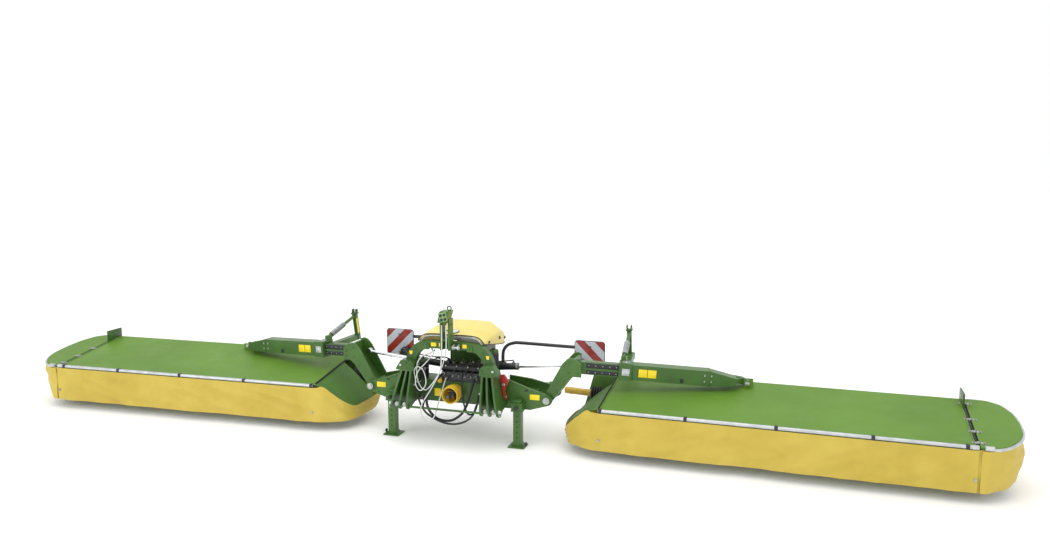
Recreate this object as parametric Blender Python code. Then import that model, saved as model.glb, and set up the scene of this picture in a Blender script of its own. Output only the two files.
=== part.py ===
"""Rear-mounted butterfly disc mower: two folding side units on one three-point headstock.

Lengths are metres. Looking at the headstock from the tractor, +X is to the right; -Y points at
the tractor and z = 0 is the parking floor. While a piece is being modelled, y = 0 is the front
face of the wing pivots; the last step moves it so that y = 0 is the middle of the footprint.
The side units are drawn once, on the right, and mirrored for the left.
"""
import math

import bmesh
import bpy
from mathutils import Matrix, Vector

# --- driving dimensions -------------------------------------------------------------------
FRONT_Y = -0.370            # front edge of the lower hitch fins
REAR_Y = 1.158              # back of the warning board tube
MIDDLE_Y = (FRONT_Y + REAR_Y) / 2

GAP = 0.0003                # between fixed pieces that touch
PIN_PLAY = 0.001            # between a pin and its bore

WING_PIN_X, WING_PIN_Z = 0.963, 0.479
WING_PIN_R = 0.028
PLATE = 0.025               # side arm plate thickness

BOOM_START = Vector((1.24, 0.203, 0.795))
BOOM_SKEW = math.radians(12.0)      # seen from above, the boom runs back as it runs out
BOOM_DROP = math.radians(3.5)       # and falls a little
TUBE_W, TUBE_H = 0.110, 0.122       # inner telescopic tube
SLEEVE_W, SLEEVE_H = 0.150, 0.152   # outer boom
SLIDE_PLAY = 0.006
SLEEVE_FROM, COLLAR_TO, TAPER_FROM = 0.400, 0.522, 1.280
TUBE_FROM, TUBE_TO = -0.030, 0.850
STROKE = 0.30

HANG_PIN = Vector((2.862, 0.625, 0.650))    # the pin the mowing unit swings on
HANG_PIN_R = 0.014

CYL_BASE = Vector((0.060, 0.215, 0.700))
CYL_EYE = Vector((1.090, 0.215, 0.794))
CYL_R, CYL_ROD_R = 0.036, 0.017
CYL_GLAND = 0.545           # base pin to gland

MOWER_CORNER = Vector((1.529, -0.217, 0.0))     # front inner corner of the cover
MOWER_YAW = math.radians(-1.617)
COVER_LEN, COVER_DEPTH = 3.260, 1.020
COVER_Z, COVER_SLOPE = 0.490, 0.140
SHEET = 0.012
HEM_Z = 0.100
CURTAIN = 0.008

# plan of the curtain round the inner end, and of the end guard, in mowing unit axes
INNER_END = [(0.000, -0.026), (-0.100, -0.012), (-0.200, 0.025), (-0.300, 0.085), (-0.370, 0.200),
             (-0.398, 0.340), (-0.405, 0.500), (-0.403, 0.640), (-0.385, 0.760), (-0.330, 0.850),
             (-0.200, 0.905), (-0.010, 0.925)]
END_OUTLINE = [(3.400, 0.010), (3.500, 0.075), (3.590, 0.195), (3.645, 0.350), (3.655, 0.560),
               (3.630, 0.770), (3.560, 0.935), (3.450, 1.010)]

DISCS = 8
DISC_PITCH = 0.425
DISC_Y = 0.420
CUTTING_MIDDLE = 1.655      # along the cover from its inner edge
DISC_R, KNIFE_R = 0.130, 0.235
BAR_TOP = 0.078

BOARD = 0.334               # warning board edge
BOARD_X, BOARD_Z, BOARD_CORNER = 0.976, 0.521, 0.030

FIN_FOOT_Z, FIN = 0.400, 0.020      # where the fins' spacing is given, and their thickness
FINS = ((0.390, -0.028), (0.473, -0.133), (0.560, -0.228))      # x at the foot, lean per metre up
STAND_X, STAND_Y = 0.684, -0.066
STAND_LEG, STAND_COLLAR = 0.040, 0.056       # half widths of the leg and of its collar

GREEN = (0.045, 0.110, 0.025, 1.0)
BRIGHT_GREEN = (0.130, 0.290, 0.055, 1.0)
YELLOW_PVC = (0.700, 0.560, 0.130, 1.0)
PALE_YELLOW = (0.850, 0.740, 0.250, 1.0)
YELLOW = (0.850, 0.600, 0.040, 1.0)
BLACK = (0.010, 0.010, 0.012, 1.0)
STEEL = (0.450, 0.450, 0.450, 1.0)
CHROME = (0.800, 0.800, 0.800, 1.0)
RED = (0.350, 0.015, 0.010, 1.0)
GREY = (0.500, 0.500, 0.480, 1.0)


# --- shaping helpers -----------------------------------------------------------------------
def start_clean():
    """Remove everything that is in the scene."""
    for thing in list(bpy.data.objects):
        bpy.data.objects.remove(thing, do_unlink=True)


def solid(bm, name="piece"):
    """Turn a closed bmesh into an object with its faces pointing out."""
    bmesh.ops.recalc_face_normals(bm, faces=bm.faces)
    mesh = bpy.data.meshes.new(name)
    bm.to_mesh(mesh)
    bm.free()
    piece = bpy.data.objects.new(name, mesh)
    bpy.context.scene.collection.objects.link(piece)
    return piece


def prism(outline, axis, low, high):
    """Extrude a flat outline along an axis: x takes (y, z), y takes (x, z), z takes (x, y)."""
    spot = {"x": lambda a, b, t: (t, a, b), "y": lambda a, b, t: (a, t, b),
            "z": lambda a, b, t: (a, b, t)}[axis]
    bm = bmesh.new()
    first = [bm.verts.new(spot(a, b, low)) for a, b in outline]
    second = [bm.verts.new(spot(a, b, high)) for a, b in outline]
    bm.faces.new(first)
    bm.faces.new(second[::-1])
    for index in range(len(outline)):
        after = (index + 1) % len(outline)
        bm.faces.new((first[index], first[after], second[after], second[index]))
    return solid(bm)


def block(x_range, y_range, z_range):
    """A box between two x, two y and two z values."""
    (x0, x1), (y0, y1) = x_range, y_range
    return prism([(x0, y0), (x1, y0), (x1, y1), (x0, y1)], "z", *z_range)


def rod(start, end, radius, end_radius=None, sides=16):
    """A round bar, or a cone, between two points."""
    start, end = Vector(start), Vector(end)
    along = end - start
    bm = bmesh.new()
    bmesh.ops.create_cone(bm, cap_ends=True, segments=sides, radius1=radius,
                          radius2=radius if end_radius is None else end_radius,
                          depth=along.length)
    turn = Vector((0, 0, 1)).rotation_difference(along).to_matrix().to_4x4()
    bm.transform(Matrix.Translation((start + end) / 2) @ turn)
    return solid(bm)


def sheet(rows, thickness):
    """A closed shell of one thickness over a grid of points."""
    bm = bmesh.new()
    grid = [[bm.verts.new(point) for point in row] for row in rows]
    for upper, lower in zip(grid, grid[1:]):
        for index in range(len(upper) - 1):
            bm.faces.new((upper[index], upper[index + 1], lower[index + 1], lower[index]))
    piece = solid(bm)
    wall = piece.modifiers.new("wall", "SOLIDIFY")
    wall.thickness = thickness
    wall.offset = 0.0
    return settle(piece)


def settle(piece):
    """Replace an object's mesh by what its modifiers make of it."""
    bpy.context.view_layer.update()
    graph = bpy.context.evaluated_depsgraph_get()
    mesh = bpy.data.meshes.new_from_object(piece.evaluated_get(graph))
    piece.modifiers.clear()
    piece.data = mesh
    return piece


def combine(base, others, operation):
    """Boolean a list of pieces into the base, and drop them."""
    for other in others:
        change = base.modifiers.new("join", "BOOLEAN")
        change.operation = operation
        change.object = other
        settle(base)
        bpy.data.objects.remove(other, do_unlink=True)
    return base


def fuse(base, *others):
    """Join pieces into the base."""
    return combine(base, others, "UNION")


def cut(base, *others):
    """Take pieces away from the base."""
    return combine(base, others, "DIFFERENCE")


def arc(centre, radius, start, end, steps):
    """Points round a centre, angles in degrees."""
    turns = [math.radians(start + (end - start) * step / steps) for step in range(steps + 1)]
    return [(centre[0] + radius * math.cos(turn), centre[1] + radius * math.sin(turn))
            for turn in turns]


def material(name, colour, roughness, metallic):
    """A plain Principled surface."""
    finish = bpy.data.materials.new(name)
    finish.use_nodes = True
    surface = finish.node_tree.nodes["Principled BSDF"]
    surface.inputs["Base Color"].default_value = colour
    surface.inputs["Roughness"].default_value = roughness
    surface.inputs["Metallic"].default_value = metallic
    return finish


def finish(piece, name, pivot=(0, 0, 0), side=1, colour=GREEN, roughness=0.45, metallic=0.0,
           smooth=False):
    """Name a piece, mirror it for the left side, and put its origin on its pivot."""
    pivot = Vector((pivot[0] * side, pivot[1] - MIDDLE_Y, pivot[2]))
    piece.data.transform(Matrix.Translation((0, -MIDDLE_Y, 0)))
    if side < 0:
        piece.data.transform(Matrix.Diagonal((-1, 1, 1, 1)))
        piece.data.flip_normals()
    piece.data.transform(Matrix.Translation(-pivot))
    piece.name = name
    piece.data.name = name
    piece.location = pivot
    piece.data.materials.clear()
    piece.data.materials.append(material(name, colour, roughness, metallic))
    if smooth:
        piece.data.shade_smooth()
        piece.data.set_sharp_from_angle(angle=math.radians(35))
    return piece


def side_name(side):
    """Right is +X."""
    return "right" if side > 0 else "left"


# --- frames the side units are drawn in ----------------------------------------------------
def boom_matrix():
    """Boom axes: x along the tube, y across it and level, z up."""
    along = Vector((math.cos(BOOM_SKEW) * math.cos(BOOM_DROP),
                    math.sin(BOOM_SKEW) * math.cos(BOOM_DROP), -math.sin(BOOM_DROP)))
    across = Vector((-math.sin(BOOM_SKEW), math.cos(BOOM_SKEW), 0))
    up = along.cross(across)
    turn = Matrix((along, across, up)).transposed().to_4x4()
    return Matrix.Translation(BOOM_START) @ turn


def mower_matrix():
    """Mowing unit axes: x along the front bar, y to the rear, z up."""
    return Matrix.Translation(MOWER_CORNER) @ Matrix.Rotation(MOWER_YAW, 4, "Z")


def moved(piece, matrix):
    """Transform a piece's mesh and hand it back."""
    piece.data.transform(matrix)
    return piece


def cover_z(y):
    """Height of the cover's top face."""
    return COVER_Z + COVER_SLOPE * y


# --- centre frame --------------------------------------------------------------------------
def main_beam():
    """Box beam between the side arms, with a pressure store standing near each end of it."""
    beam = block((-0.46, 0.46), (-0.04, 0.34), (0.385, 0.56))
    lip = block((-0.46, 0.46), (-0.04, 0.08), (0.50, 0.605))
    stores = [rod((x, 0.060, 0.550), (x, 0.060, top), radius, sides=20)
              for x, top, radius in ((0.385, 0.940, 0.050), (-0.395, 0.800, 0.060))]
    return finish(fuse(beam, lip, *stores), "main_beam")


def upright(half, low, high):
    """A square block centred on the parking stand."""
    return block((STAND_X - half, STAND_X + half), (STAND_Y - half, STAND_Y + half), (low, high))


def side_arm(side):
    """Two tapering plates that carry the wing pin, boxed near the beam, with the stand's collar."""
    inner = 0.46 + GAP
    tip = arc((WING_PIN_X, WING_PIN_Z), 0.055, -65, 72, 8)
    front = prism([(inner, 0.368), (0.795, 0.370)] + tip + [(0.782, 0.587), (0.661, 0.630),
                                                           (0.472, 0.695), (inner, 0.697)],
                  "y", -0.015, -0.015 + PLATE)
    rear = prism([(inner, 0.368), (0.795, 0.370)] + tip + [(0.700, 0.592), (inner, 0.615)],
                 "y", 0.345, 0.345 + PLATE)
    box = block((inner, 0.80), (-0.010, 0.365), (0.3685, 0.500))
    pin = rod((WING_PIN_X, -0.016, WING_PIN_Z), (WING_PIN_X, 0.372, WING_PIN_Z), WING_PIN_R)
    head = rod((WING_PIN_X, -0.030, WING_PIN_Z), (WING_PIN_X, -0.014, WING_PIN_Z), 0.043)
    collar = cut(upright(STAND_COLLAR, 0.370, 0.455), upright(STAND_COLLAR - 0.010, 0.30, 0.50))
    arm = fuse(front, rear, box, pin, head, collar)
    return finish(arm, f"side_arm_{side_name(side)}", side=side)


def leaning(slope):
    """A shear that moves points along x by their height times a slope."""
    return Matrix(((1, 0, slope, 0), (0, 1, 0, 0), (0, 0, 1, 0), (0, 0, 0, 1)))


def headstock():
    """Arch over the drive, three splayed hitch fins a side, lower link pins and the cross rod."""
    outer = [(0.480, 0.760), (0.462, 0.870), (0.440, 0.925), (0.385, 0.995), (0.320, 1.035),
             (0.200, 1.050)]
    inner = [(0.200, 0.975), (0.290, 0.950), (0.335, 0.905), (0.362, 0.850), (0.378, 0.760)]
    mirror = [(-x, z) for x, z in outer[::-1]]
    mirror_inner = [(-x, z) for x, z in inner[::-1]]
    arch = prism(outer + mirror + mirror_inner + inner, "y", -0.195, -0.115)
    fin = [(-0.0403, 0.420), (-0.200, 0.400), (-0.290, 0.372), (-0.330, 0.362), (-0.362, 0.380),
           (FRONT_Y, 0.430), (-0.345, 0.550), (-0.275, 0.760), (-0.0403, 0.760)]
    back = [(0.384, 0.430), (0.558, 0.430), (0.484, 0.758), (0.374, 0.758)]
    gusset = [(0.345, 0.750), (0.350, 0.820), (0.380, 0.845), (0.430, 0.855), (0.490, 0.850),
              (0.545, 0.765), (0.540, 0.750)]
    pieces = [block((0.060, 0.130), (-0.215, -0.190), (0.985, 1.035))]      # upper link's pad
    for side in (1, -1):
        for foot, lean in FINS:
            plate = prism(fin, "x", -FIN / 2, FIN / 2)
            shift = Matrix.Translation((side * (foot - lean * FIN_FOOT_Z), 0, 0))
            pieces.append(moved(plate, shift @ leaning(side * lean)))
        pieces.append(prism([(side * x, z) for x, z in back], "y", -0.060, -0.0403))
        pieces.append(block(sorted((side * 0.370, side * 0.490)), (-0.278, -0.042), (0.742, 0.768)))
        pieces.append(rod((side * 0.376, -0.330, 0.415), (side * 0.570, -0.330, 0.415), 0.018))
        pieces.append(prism([(side * x, z) for x, z in gusset], "y", -0.275, -0.185))
    pieces.append(rod((-0.385, -0.340, 0.395), (0.385, -0.340, 0.395), 0.011, sides=12))
    return finish(fuse(arch, *pieces), "headstock")


def hose_mast():
    """Two flat bars up from the arch, the socket box on top and its lifting ring."""
    left = block((-0.050, -0.034), (-0.300, -0.1953), (0.985, 1.300))
    right = block((0.034, 0.050), (-0.300, -0.1953), (0.985, 1.300))
    foot = block((-0.050, 0.050), (-0.215, -0.1953), (0.990, 1.045))
    box = prism([(-0.055, 1.272), (0.037, 1.268), (0.073, 1.388), (-0.030, 1.384)], "y",
                -0.350, -0.235)
    ring = hoop((0.050, -0.290, 1.411), 0.020, 0.006)
    return finish(fuse(box, left, right, foot, ring), "hose_mast", colour=BRIGHT_GREEN)


def hoop(centre, radius, wire, steps=16, sides=6):
    """A closed ring of round wire, standing in the xz plane."""
    bm = bmesh.new()
    loops = []
    for step in range(steps):
        turn = 2 * math.pi * step / steps
        loop = []
        for side in range(sides):
            bend = 2 * math.pi * side / sides
            reach = radius + wire * math.cos(bend)
            loop.append(bm.verts.new((centre[0] + reach * math.cos(turn),
                                      centre[1] + wire * math.sin(bend),
                                      centre[2] + reach * math.sin(turn))))
        loops.append(loop)
    for here, after in zip(loops, loops[1:] + loops[:1]):
        for side in range(sides):
            beside = (side + 1) % sides
            bm.faces.new((here[side], after[side], after[beside], here[beside]))
    return solid(bm)


def stand(side):
    """A square leg with its foot plate; it slides up through the collar."""
    leg = upright(STAND_LEG, 0.008, 0.480)
    foot = block((STAND_X - 0.085, STAND_X + 0.080), (STAND_Y - 0.080, STAND_Y + 0.080),
                 (0.0, 0.014))
    flare = prism([(STAND_X - 0.070, 0.010), (STAND_X + 0.066, 0.010), (STAND_X + 0.039, 0.050),
                   (STAND_X - 0.039, 0.050)], "y", STAND_Y - 0.035, STAND_Y + 0.035)
    return finish(fuse(leg, foot, flare), f"stand_{side_name(side)}",
                  (STAND_X, STAND_Y, 0.0), side)


def centre_housing():
    """Gear housing behind the beam, its two side outputs, and the lug the lift cylinders pull on."""
    housing = block((-0.20, 0.20), (0.3403, 0.66), (0.36, 0.90))
    across = rod((-0.86, 0.55, 0.46), (0.86, 0.55, 0.46), 0.050)
    floor = block((-0.10, 0.10), (0.150, 0.345), (0.5603, 0.640))
    front = block((-0.10, 0.10), (0.150, 0.171), (0.600, 0.740))
    rear = block((-0.10, 0.10), (0.259, 0.280), (0.600, 0.740))
    pieces = [across, floor, front, rear]
    for side in (1, -1):
        pieces.append(rod((side * CYL_BASE.x, 0.160, CYL_BASE.z),
                          (side * CYL_BASE.x, 0.270, CYL_BASE.z), 0.015))
    return finish(fuse(housing, *pieces), "centre_housing")


def hydraulic_block():
    """Valve block on the beam, under its rounded cap."""
    base = block((-0.15, 0.28), (-0.030, 0.120), (0.6053, 0.700))
    upper = rod((-0.15, 0.045, 0.735), (0.28, 0.045, 0.735), 0.048)
    return finish(fuse(base, upper), "hydraulic_block", colour=BLACK)


def hood():
    """Moulded cover over the centre drive, open in front and below."""
    sections = [            # y, then half width and height of the top and of the shoulder, edge
        (-0.140, 0.260, 1.110, 0.350, 1.050, 1.035),
        (0.120, 0.250, 1.150, 0.362, 1.075, 0.985),
        (0.400, 0.220, 1.160, 0.350, 1.065, 0.930),
        (0.620, 0.180, 1.090, 0.315, 1.000, 0.900),
        (0.740, 0.130, 0.975, 0.255, 0.935, 0.885)]
    rows = []
    for y, top, top_z, low, low_z, edge_z in sections:
        rows.append([(-low, y, edge_z), (-low, y, low_z), (-top, y, top_z), (0, y, top_z + 0.004),
                     (top, y, top_z), (low, y, low_z), (low, y, edge_z)])
    return finish(sheet(rows, 0.010), "hood", colour=PALE_YELLOW)


def pto_guard():
    """Protective cup round the power shaft's stub."""
    cup = rod((0, -0.185, 0.497), (0, -0.0403, 0.497), 0.086, sides=24)
    cup = cut(cup, rod((0, -0.25, 0.497), (0, -0.055, 0.497), 0.076, sides=24))
    return finish(cup, "pto_guard", colour=YELLOW, smooth=True)


def pto_shaft():
    """Splined stub with its yoke, turning in the cup."""
    hub = rod((0, -0.130, 0.497), (0, -0.062, 0.497), 0.038)
    spline = rod((0, -0.250, 0.497), (0, -0.120, 0.497), 0.0175)
    yoke = block((-0.030, 0.030), (-0.170, -0.120), (0.479, 0.515))
    return finish(fuse(hub, yoke, spline), "pto_shaft", (0, -0.062, 0.497), colour=STEEL,
                  metallic=1.0)


def board_carrier():
    """Black tube bent up and out to each warning board, on a bar behind the housing."""
    bar = block((-0.045, 0.045), (0.6603, 1.120), (0.480, 0.540))
    plate = block((-0.170, 0.170), (1.095, 1.135), (0.470, 0.550))
    pieces = [plate]
    for side in (1, -1):
        route = [(0.125, 0.480), (0.125, 0.660), (0.145, 0.705), (0.190, 0.750), (0.250, 0.772),
                 (0.320, 0.780), (1.160, 0.770)]
        lower, upper = offset_path(route, -0.020), offset_path(route, 0.020)
        pieces.append(prism([(side * x, z) for x, z in lower + upper[::-1]], "y",
                            1.118, REAR_Y))
    return finish(fuse(bar, *pieces), "board_carrier", colour=BLACK)


def offset_path(route, distance):
    """The route moved sideways by a distance."""
    shifted = []
    for index, here in enumerate(route):
        before, after = route[max(index - 1, 0)], route[min(index + 1, len(route) - 1)]
        dx, dz = after[0] - before[0], after[1] - before[1]
        length = math.hypot(dx, dz)
        shifted.append((here[0] - dz / length * distance, here[1] + dx / length * distance))
    return shifted


def warning_board(side):
    """Square board with rounded corners, and the round lamp in front of it."""
    low, high = BOARD_CORNER, BOARD - BOARD_CORNER
    outline = []
    for dx, dz, start in ((high, high, 0), (low, high, 90), (low, low, 180), (high, low, 270)):
        outline += arc((BOARD_X + dx, BOARD_Z + dz), BOARD_CORNER, start, start + 90, 4)
    board = prism(outline, "y", 1.100, 1.118 - GAP)
    lamp = rod((1.060, 1.040, 0.598), (1.060, 1.105, 0.598), 0.062)
    return finish(fuse(board, lamp), f"warning_board_{side_name(side)}", side=side, colour=RED)


def lock_bracket():
    """Red catch beside the right hitch fins, on a pin from the side arm."""
    outline = [(0.512, 0.700), (0.520, 0.735), (0.554, 0.742), (0.604, 0.677), (0.572, 0.620),
               (0.562, 0.569), (0.584, 0.496), (0.557, 0.492), (0.545, 0.545), (0.535, 0.600),
               (0.517, 0.660)]
    catch = prism(outline, "y", -0.125, -0.100)
    pin = rod((0.550, -0.110, 0.640), (0.550, -0.015 - GAP, 0.640), 0.012)
    return finish(fuse(catch, pin), "lock_bracket", colour=RED)


# --- boom and lift cylinder ----------------------------------------------------------------
def boom_link(side):
    """Knuckle on the wing pin, with the inner telescopic tube."""
    ring = arc((WING_PIN_X, WING_PIN_Z), 0.050, 150, 318, 8)
    right_edge = [(1.024, 0.487), (1.173, 0.688), (1.222, 0.730)]
    crown = [(1.240, 0.905), (1.195, 0.917), (1.157, 0.904), (1.108, 0.850)]
    front = prism(ring + right_edge + [(1.300, 0.728), (1.300, 0.860)] + crown, "y", 0.030, 0.050)
    rear = prism(ring + right_edge + [(1.235, 0.735), (1.235, 0.860)] + crown, "y", 0.305, 0.325)
    web = prism([(1.022, 0.489), (1.171, 0.690), (1.220, 0.732), (1.205, 0.748), (1.155, 0.702),
                 (1.004, 0.502)], "y", 0.040, 0.315)
    root = block((1.207, 1.233), (0.040, 0.315), (0.738, 0.895))
    hub = rod((WING_PIN_X, 0.031, WING_PIN_Z), (WING_PIN_X, 0.324, WING_PIN_Z), 0.043)
    tube = moved(block((TUBE_FROM, TUBE_TO), (-TUBE_W / 2, TUBE_W / 2),
                       (-TUBE_H / 2, TUBE_H / 2)), boom_matrix())
    link = fuse(front, hub, rear, web, root, tube)
    bore = rod((WING_PIN_X, -0.05, WING_PIN_Z), (WING_PIN_X, 0.40, WING_PIN_Z),
               WING_PIN_R + PIN_PLAY)
    return finish(cut(link, bore), f"boom_link_{side_name(side)}",
                  (WING_PIN_X, 0.178, WING_PIN_Z), side)


def outer_boom(side):
    """Sleeve with its collar, the tapering nose over the hanging pin, and the braced post."""
    half_w, half_h = SLEEVE_W / 2, SLEEVE_H / 2
    boom = block((SLEEVE_FROM, TAPER_FROM + 0.01), (-half_w, half_w), (-half_h, half_h))
    collar = block((SLEEVE_FROM, COLLAR_TO), (-half_w - 0.010, half_w + 0.010),
                   (-half_h - 0.010, half_h + 0.010))
    nose = prism([(TAPER_FROM, -half_h), (1.47, -0.062), (1.55, -0.045), (1.55, 0.020),
                  (TAPER_FROM, half_h)], "y", -half_w, half_w)
    boom = fuse(boom, collar, nose)
    play = SLIDE_PLAY
    hollow = block((SLEEVE_FROM - 0.1, TUBE_TO + STROKE + 0.01),
                   (-TUBE_W / 2 - play, TUBE_W / 2 + play), (-TUBE_H / 2 - play, TUBE_H / 2 + play))
    boom = moved(boom, boom_matrix())
    lug = prism([(2.700, 0.660), (2.780, 0.640)]
                + arc((HANG_PIN.x, HANG_PIN.z), 0.030, -110, 60, 8) + [(2.800, 0.705), (2.700, 0.715)],
                "y", 0.600, 0.650)
    neck = prism([(2.560, 0.470), (2.740, 0.480), (2.812, 0.585), (2.812, 0.650), (2.700, 0.650),
                  (2.560, 0.560)], "z", 0.658, 0.702)
    boom = fuse(boom, neck, lug)
    boom = cut(boom, rod((HANG_PIN.x, 0.50, HANG_PIN.z), (HANG_PIN.x, 0.80, HANG_PIN.z),
                         HANG_PIN_R + PIN_PLAY))
    arm = prism([(1.635, 0.330), (1.710, 0.350), (1.670, 0.990), (1.600, 0.990)], "z", 0.735, 0.795)
    post = prism([(0.935, 0.740), (0.990, 0.740), (0.920, 1.055), (0.865, 1.055)], "x", 1.595, 1.640)
    lug_top = block((1.640, 1.690), (0.330, 0.400), (0.790, 0.900))
    brace = rod((1.665, 0.365, 0.885), (1.618, 0.890, 1.030), 0.018, sides=12)
    boom = cut(fuse(boom, arm, post, lug_top, brace), moved(hollow, boom_matrix()))
    return finish(boom, f"outer_boom_{side_name(side)}", BOOM_START, side)


def cylinder_axis():
    """Direction and pin-to-pin length of the lift cylinder."""
    along = CYL_EYE - CYL_BASE
    return along.normalized(), along.length


def lift_body(side):
    """Bored barrel of the lift cylinder, with the eye on the centre lug's pin."""
    along, _ = cylinder_axis()
    eye = rod(CYL_BASE + Vector((0, -0.025, 0)), CYL_BASE + Vector((0, 0.025, 0)), 0.034)
    barrel = rod(CYL_BASE + along * 0.030, CYL_BASE + along * CYL_GLAND, CYL_R)
    body = fuse(barrel, eye)
    body = cut(body, rod(CYL_BASE + along * 0.065, CYL_BASE + along * (CYL_GLAND + 0.1),
                         CYL_ROD_R + 0.003))
    body = cut(body, rod(CYL_BASE + Vector((0, -0.1, 0)), CYL_BASE + Vector((0, 0.1, 0)),
                         0.015 + PIN_PLAY))
    return finish(body, f"lift_cylinder_{side_name(side)}", CYL_BASE, side, BLACK, smooth=True)


def lift_rod(side):
    """Chromed rod and its eye at the boom."""
    along, length = cylinder_axis()
    bar = rod(CYL_BASE + along * 0.520, CYL_BASE + along * (length - 0.010), CYL_ROD_R)
    eye = rod(CYL_EYE + Vector((0, -0.025, 0)), CYL_EYE + Vector((0, 0.025, 0)), 0.033)
    return finish(fuse(bar, eye), f"lift_rod_{side_name(side)}", CYL_EYE, side, CHROME,
                  0.15, 1.0, smooth=True)


def drive_shaft(side):
    """Guard tube and bellows that run from the wing pivot into the mowing unit."""
    start = Vector((1.010, 0.55, 0.446))
    middle = Vector((1.290, 0.55, 0.434))
    end = Vector((1.446, 0.55, 0.428))
    folds = 5
    bellows = [rod(middle.lerp(end, fold / folds), middle.lerp(end, (fold + 1.15) / folds),
                   0.074, 0.058) for fold in range(folds)]
    return finish(fuse(rod(start, middle, 0.035), *bellows), f"drive_shaft_{side_name(side)}",
                  (WING_PIN_X, 0.55, WING_PIN_Z), side, YELLOW)


# --- mowing unit ---------------------------------------------------------------------------
def top_cover(side):
    """Sheet cover with its rear flange, front bar, hanging bracket and the upright end plate."""
    deck = prism([(0.0, cover_z(0) - SHEET), (0.0, cover_z(0)), (COVER_DEPTH - 0.02, cover_z(1.0)),
                  (COVER_DEPTH, 0.618), (COVER_DEPTH, 0.550), (COVER_DEPTH - SHEET, 0.550),
                  (COVER_DEPTH - SHEET, 0.612), (COVER_DEPTH - 0.03, cover_z(0.99) - SHEET - 0.001)],
                 "x", 0.0, COVER_LEN)
    bar = rod((0.0, -0.008, 0.486), (COVER_LEN, -0.008, 0.486), 0.017, sides=12)
    upright = block((COVER_LEN - 0.028, COVER_LEN - 0.016), (0.770, 1.010), (0.590, 0.735))
    cover = moved(fuse(deck, bar, upright), mower_matrix())
    cheeks = [block((2.826, 2.915), (y, y + 0.014), (0.600, 0.682)) for y in (0.578, 0.658)]
    pin = rod((HANG_PIN.x, 0.570, HANG_PIN.z), (HANG_PIN.x, 0.680, HANG_PIN.z), HANG_PIN_R)
    return finish(fuse(cover, *cheeks, pin), f"top_cover_{side_name(side)}", HANG_PIN, side,
                  BRIGHT_GREEN)


def end_hinge():
    """The line the end guard folds about starts here."""
    return mower_matrix() @ Vector((COVER_LEN + 0.006, 0.0, COVER_Z + 0.004))


def skirt_top(y):
    """Upper edge of the curtain round the inner end."""
    return 0.245 + 0.215 * max(0.0, 1 - y / 0.20) ** 2 if y < 0.20 else 0.245


def inner_guard(side):
    """Slanted panel from the cover's inner edge down to the curtain."""
    hem = [point for point in INNER_END if point[1] <= 0.66]
    rows = []
    for depth in (0.0, 0.35, 0.70, 1.0):
        row = []
        for x, y in hem:
            top_y = 0.012 + y * 1.05
            low = (x * 0.93 + 0.002, y + 0.014, skirt_top(y) + 0.004)
            top = (-0.012, max(top_y, 0.005), cover_z(max(top_y, 0)) - 0.020)
            bulge = 0.02 * math.sin(math.pi * depth)
            row.append(tuple(t + (b - t) * depth + (bulge if axis == 2 else 0)
                             for axis, (t, b) in enumerate(zip(top, low))))
        rows.append(row)
    return finish(moved(sheet(rows, 0.006), mower_matrix()), f"inner_guard_{side_name(side)}",
                  HANG_PIN, side, BRIGHT_GREEN)


def skirt(side):
    """Curtain along the front and round the inner end."""
    route = [(COVER_LEN - 0.002, -0.032), (2.40, -0.032), (1.60, -0.032), (0.80, -0.032),
             (0.02, -0.032)] + [(x - 0.004, y - 0.006) for x, y in INNER_END[1:]]
    tops = [0.468] * 5 + [skirt_top(y) for _, y in INNER_END[1:]]
    rows = []
    for level in (0.0, 1.0):
        rows.append([(x, y, HEM_Z + (top - HEM_Z) * level) for (x, y), top in zip(route, tops)])
    return finish(moved(sheet(rows, CURTAIN), mower_matrix()), f"skirt_{side_name(side)}",
                  HANG_PIN, side, YELLOW_PVC, 0.6)


def end_guard(side):
    """Rounded outer end of the cover, hinged along the cover's outer edge."""
    inner = COVER_LEN + 0.012
    plan = [(inner, -0.005)] + END_OUTLINE + [(inner, 1.015)]
    plate = prism(plan, "z", 0.0, SHEET)
    rim = prism(plan, "z", -0.030, 0.002)
    hollow = prism([(inner - 0.01, 0.004)] + [(x - 0.010, 0.010 + y * 0.98) for x, y in END_OUTLINE]
                   + [(inner - 0.01, 1.005)], "z", -0.05, -0.0001)
    guard = fuse(cut(rim, hollow), plate)
    pitch = Matrix.Rotation(math.atan(COVER_SLOPE), 4, "X")
    lean = Matrix.Translation((0, 0, COVER_Z - SHEET)) @ pitch
    return finish(moved(guard, mower_matrix() @ lean), f"end_guard_{side_name(side)}",
                  end_hinge(), side, BRIGHT_GREEN)


def end_curtain(side):
    """Curtain hung from the end guard's rim."""
    route = [(COVER_LEN + 0.020, -0.034), (3.36, -0.024)] + [(x + 0.006, y - 0.008)
                                                            for x, y in END_OUTLINE[1:-1]]
    rows = []
    for level in (0.0, 1.0):
        rows.append([(x, y, HEM_Z + (cover_z(y) - 0.050 - HEM_Z) * level) for x, y in route])
    return finish(moved(sheet(rows, CURTAIN), mower_matrix()), f"end_curtain_{side_name(side)}",
                  end_hinge(), side, YELLOW_PVC, 0.6)


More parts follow.
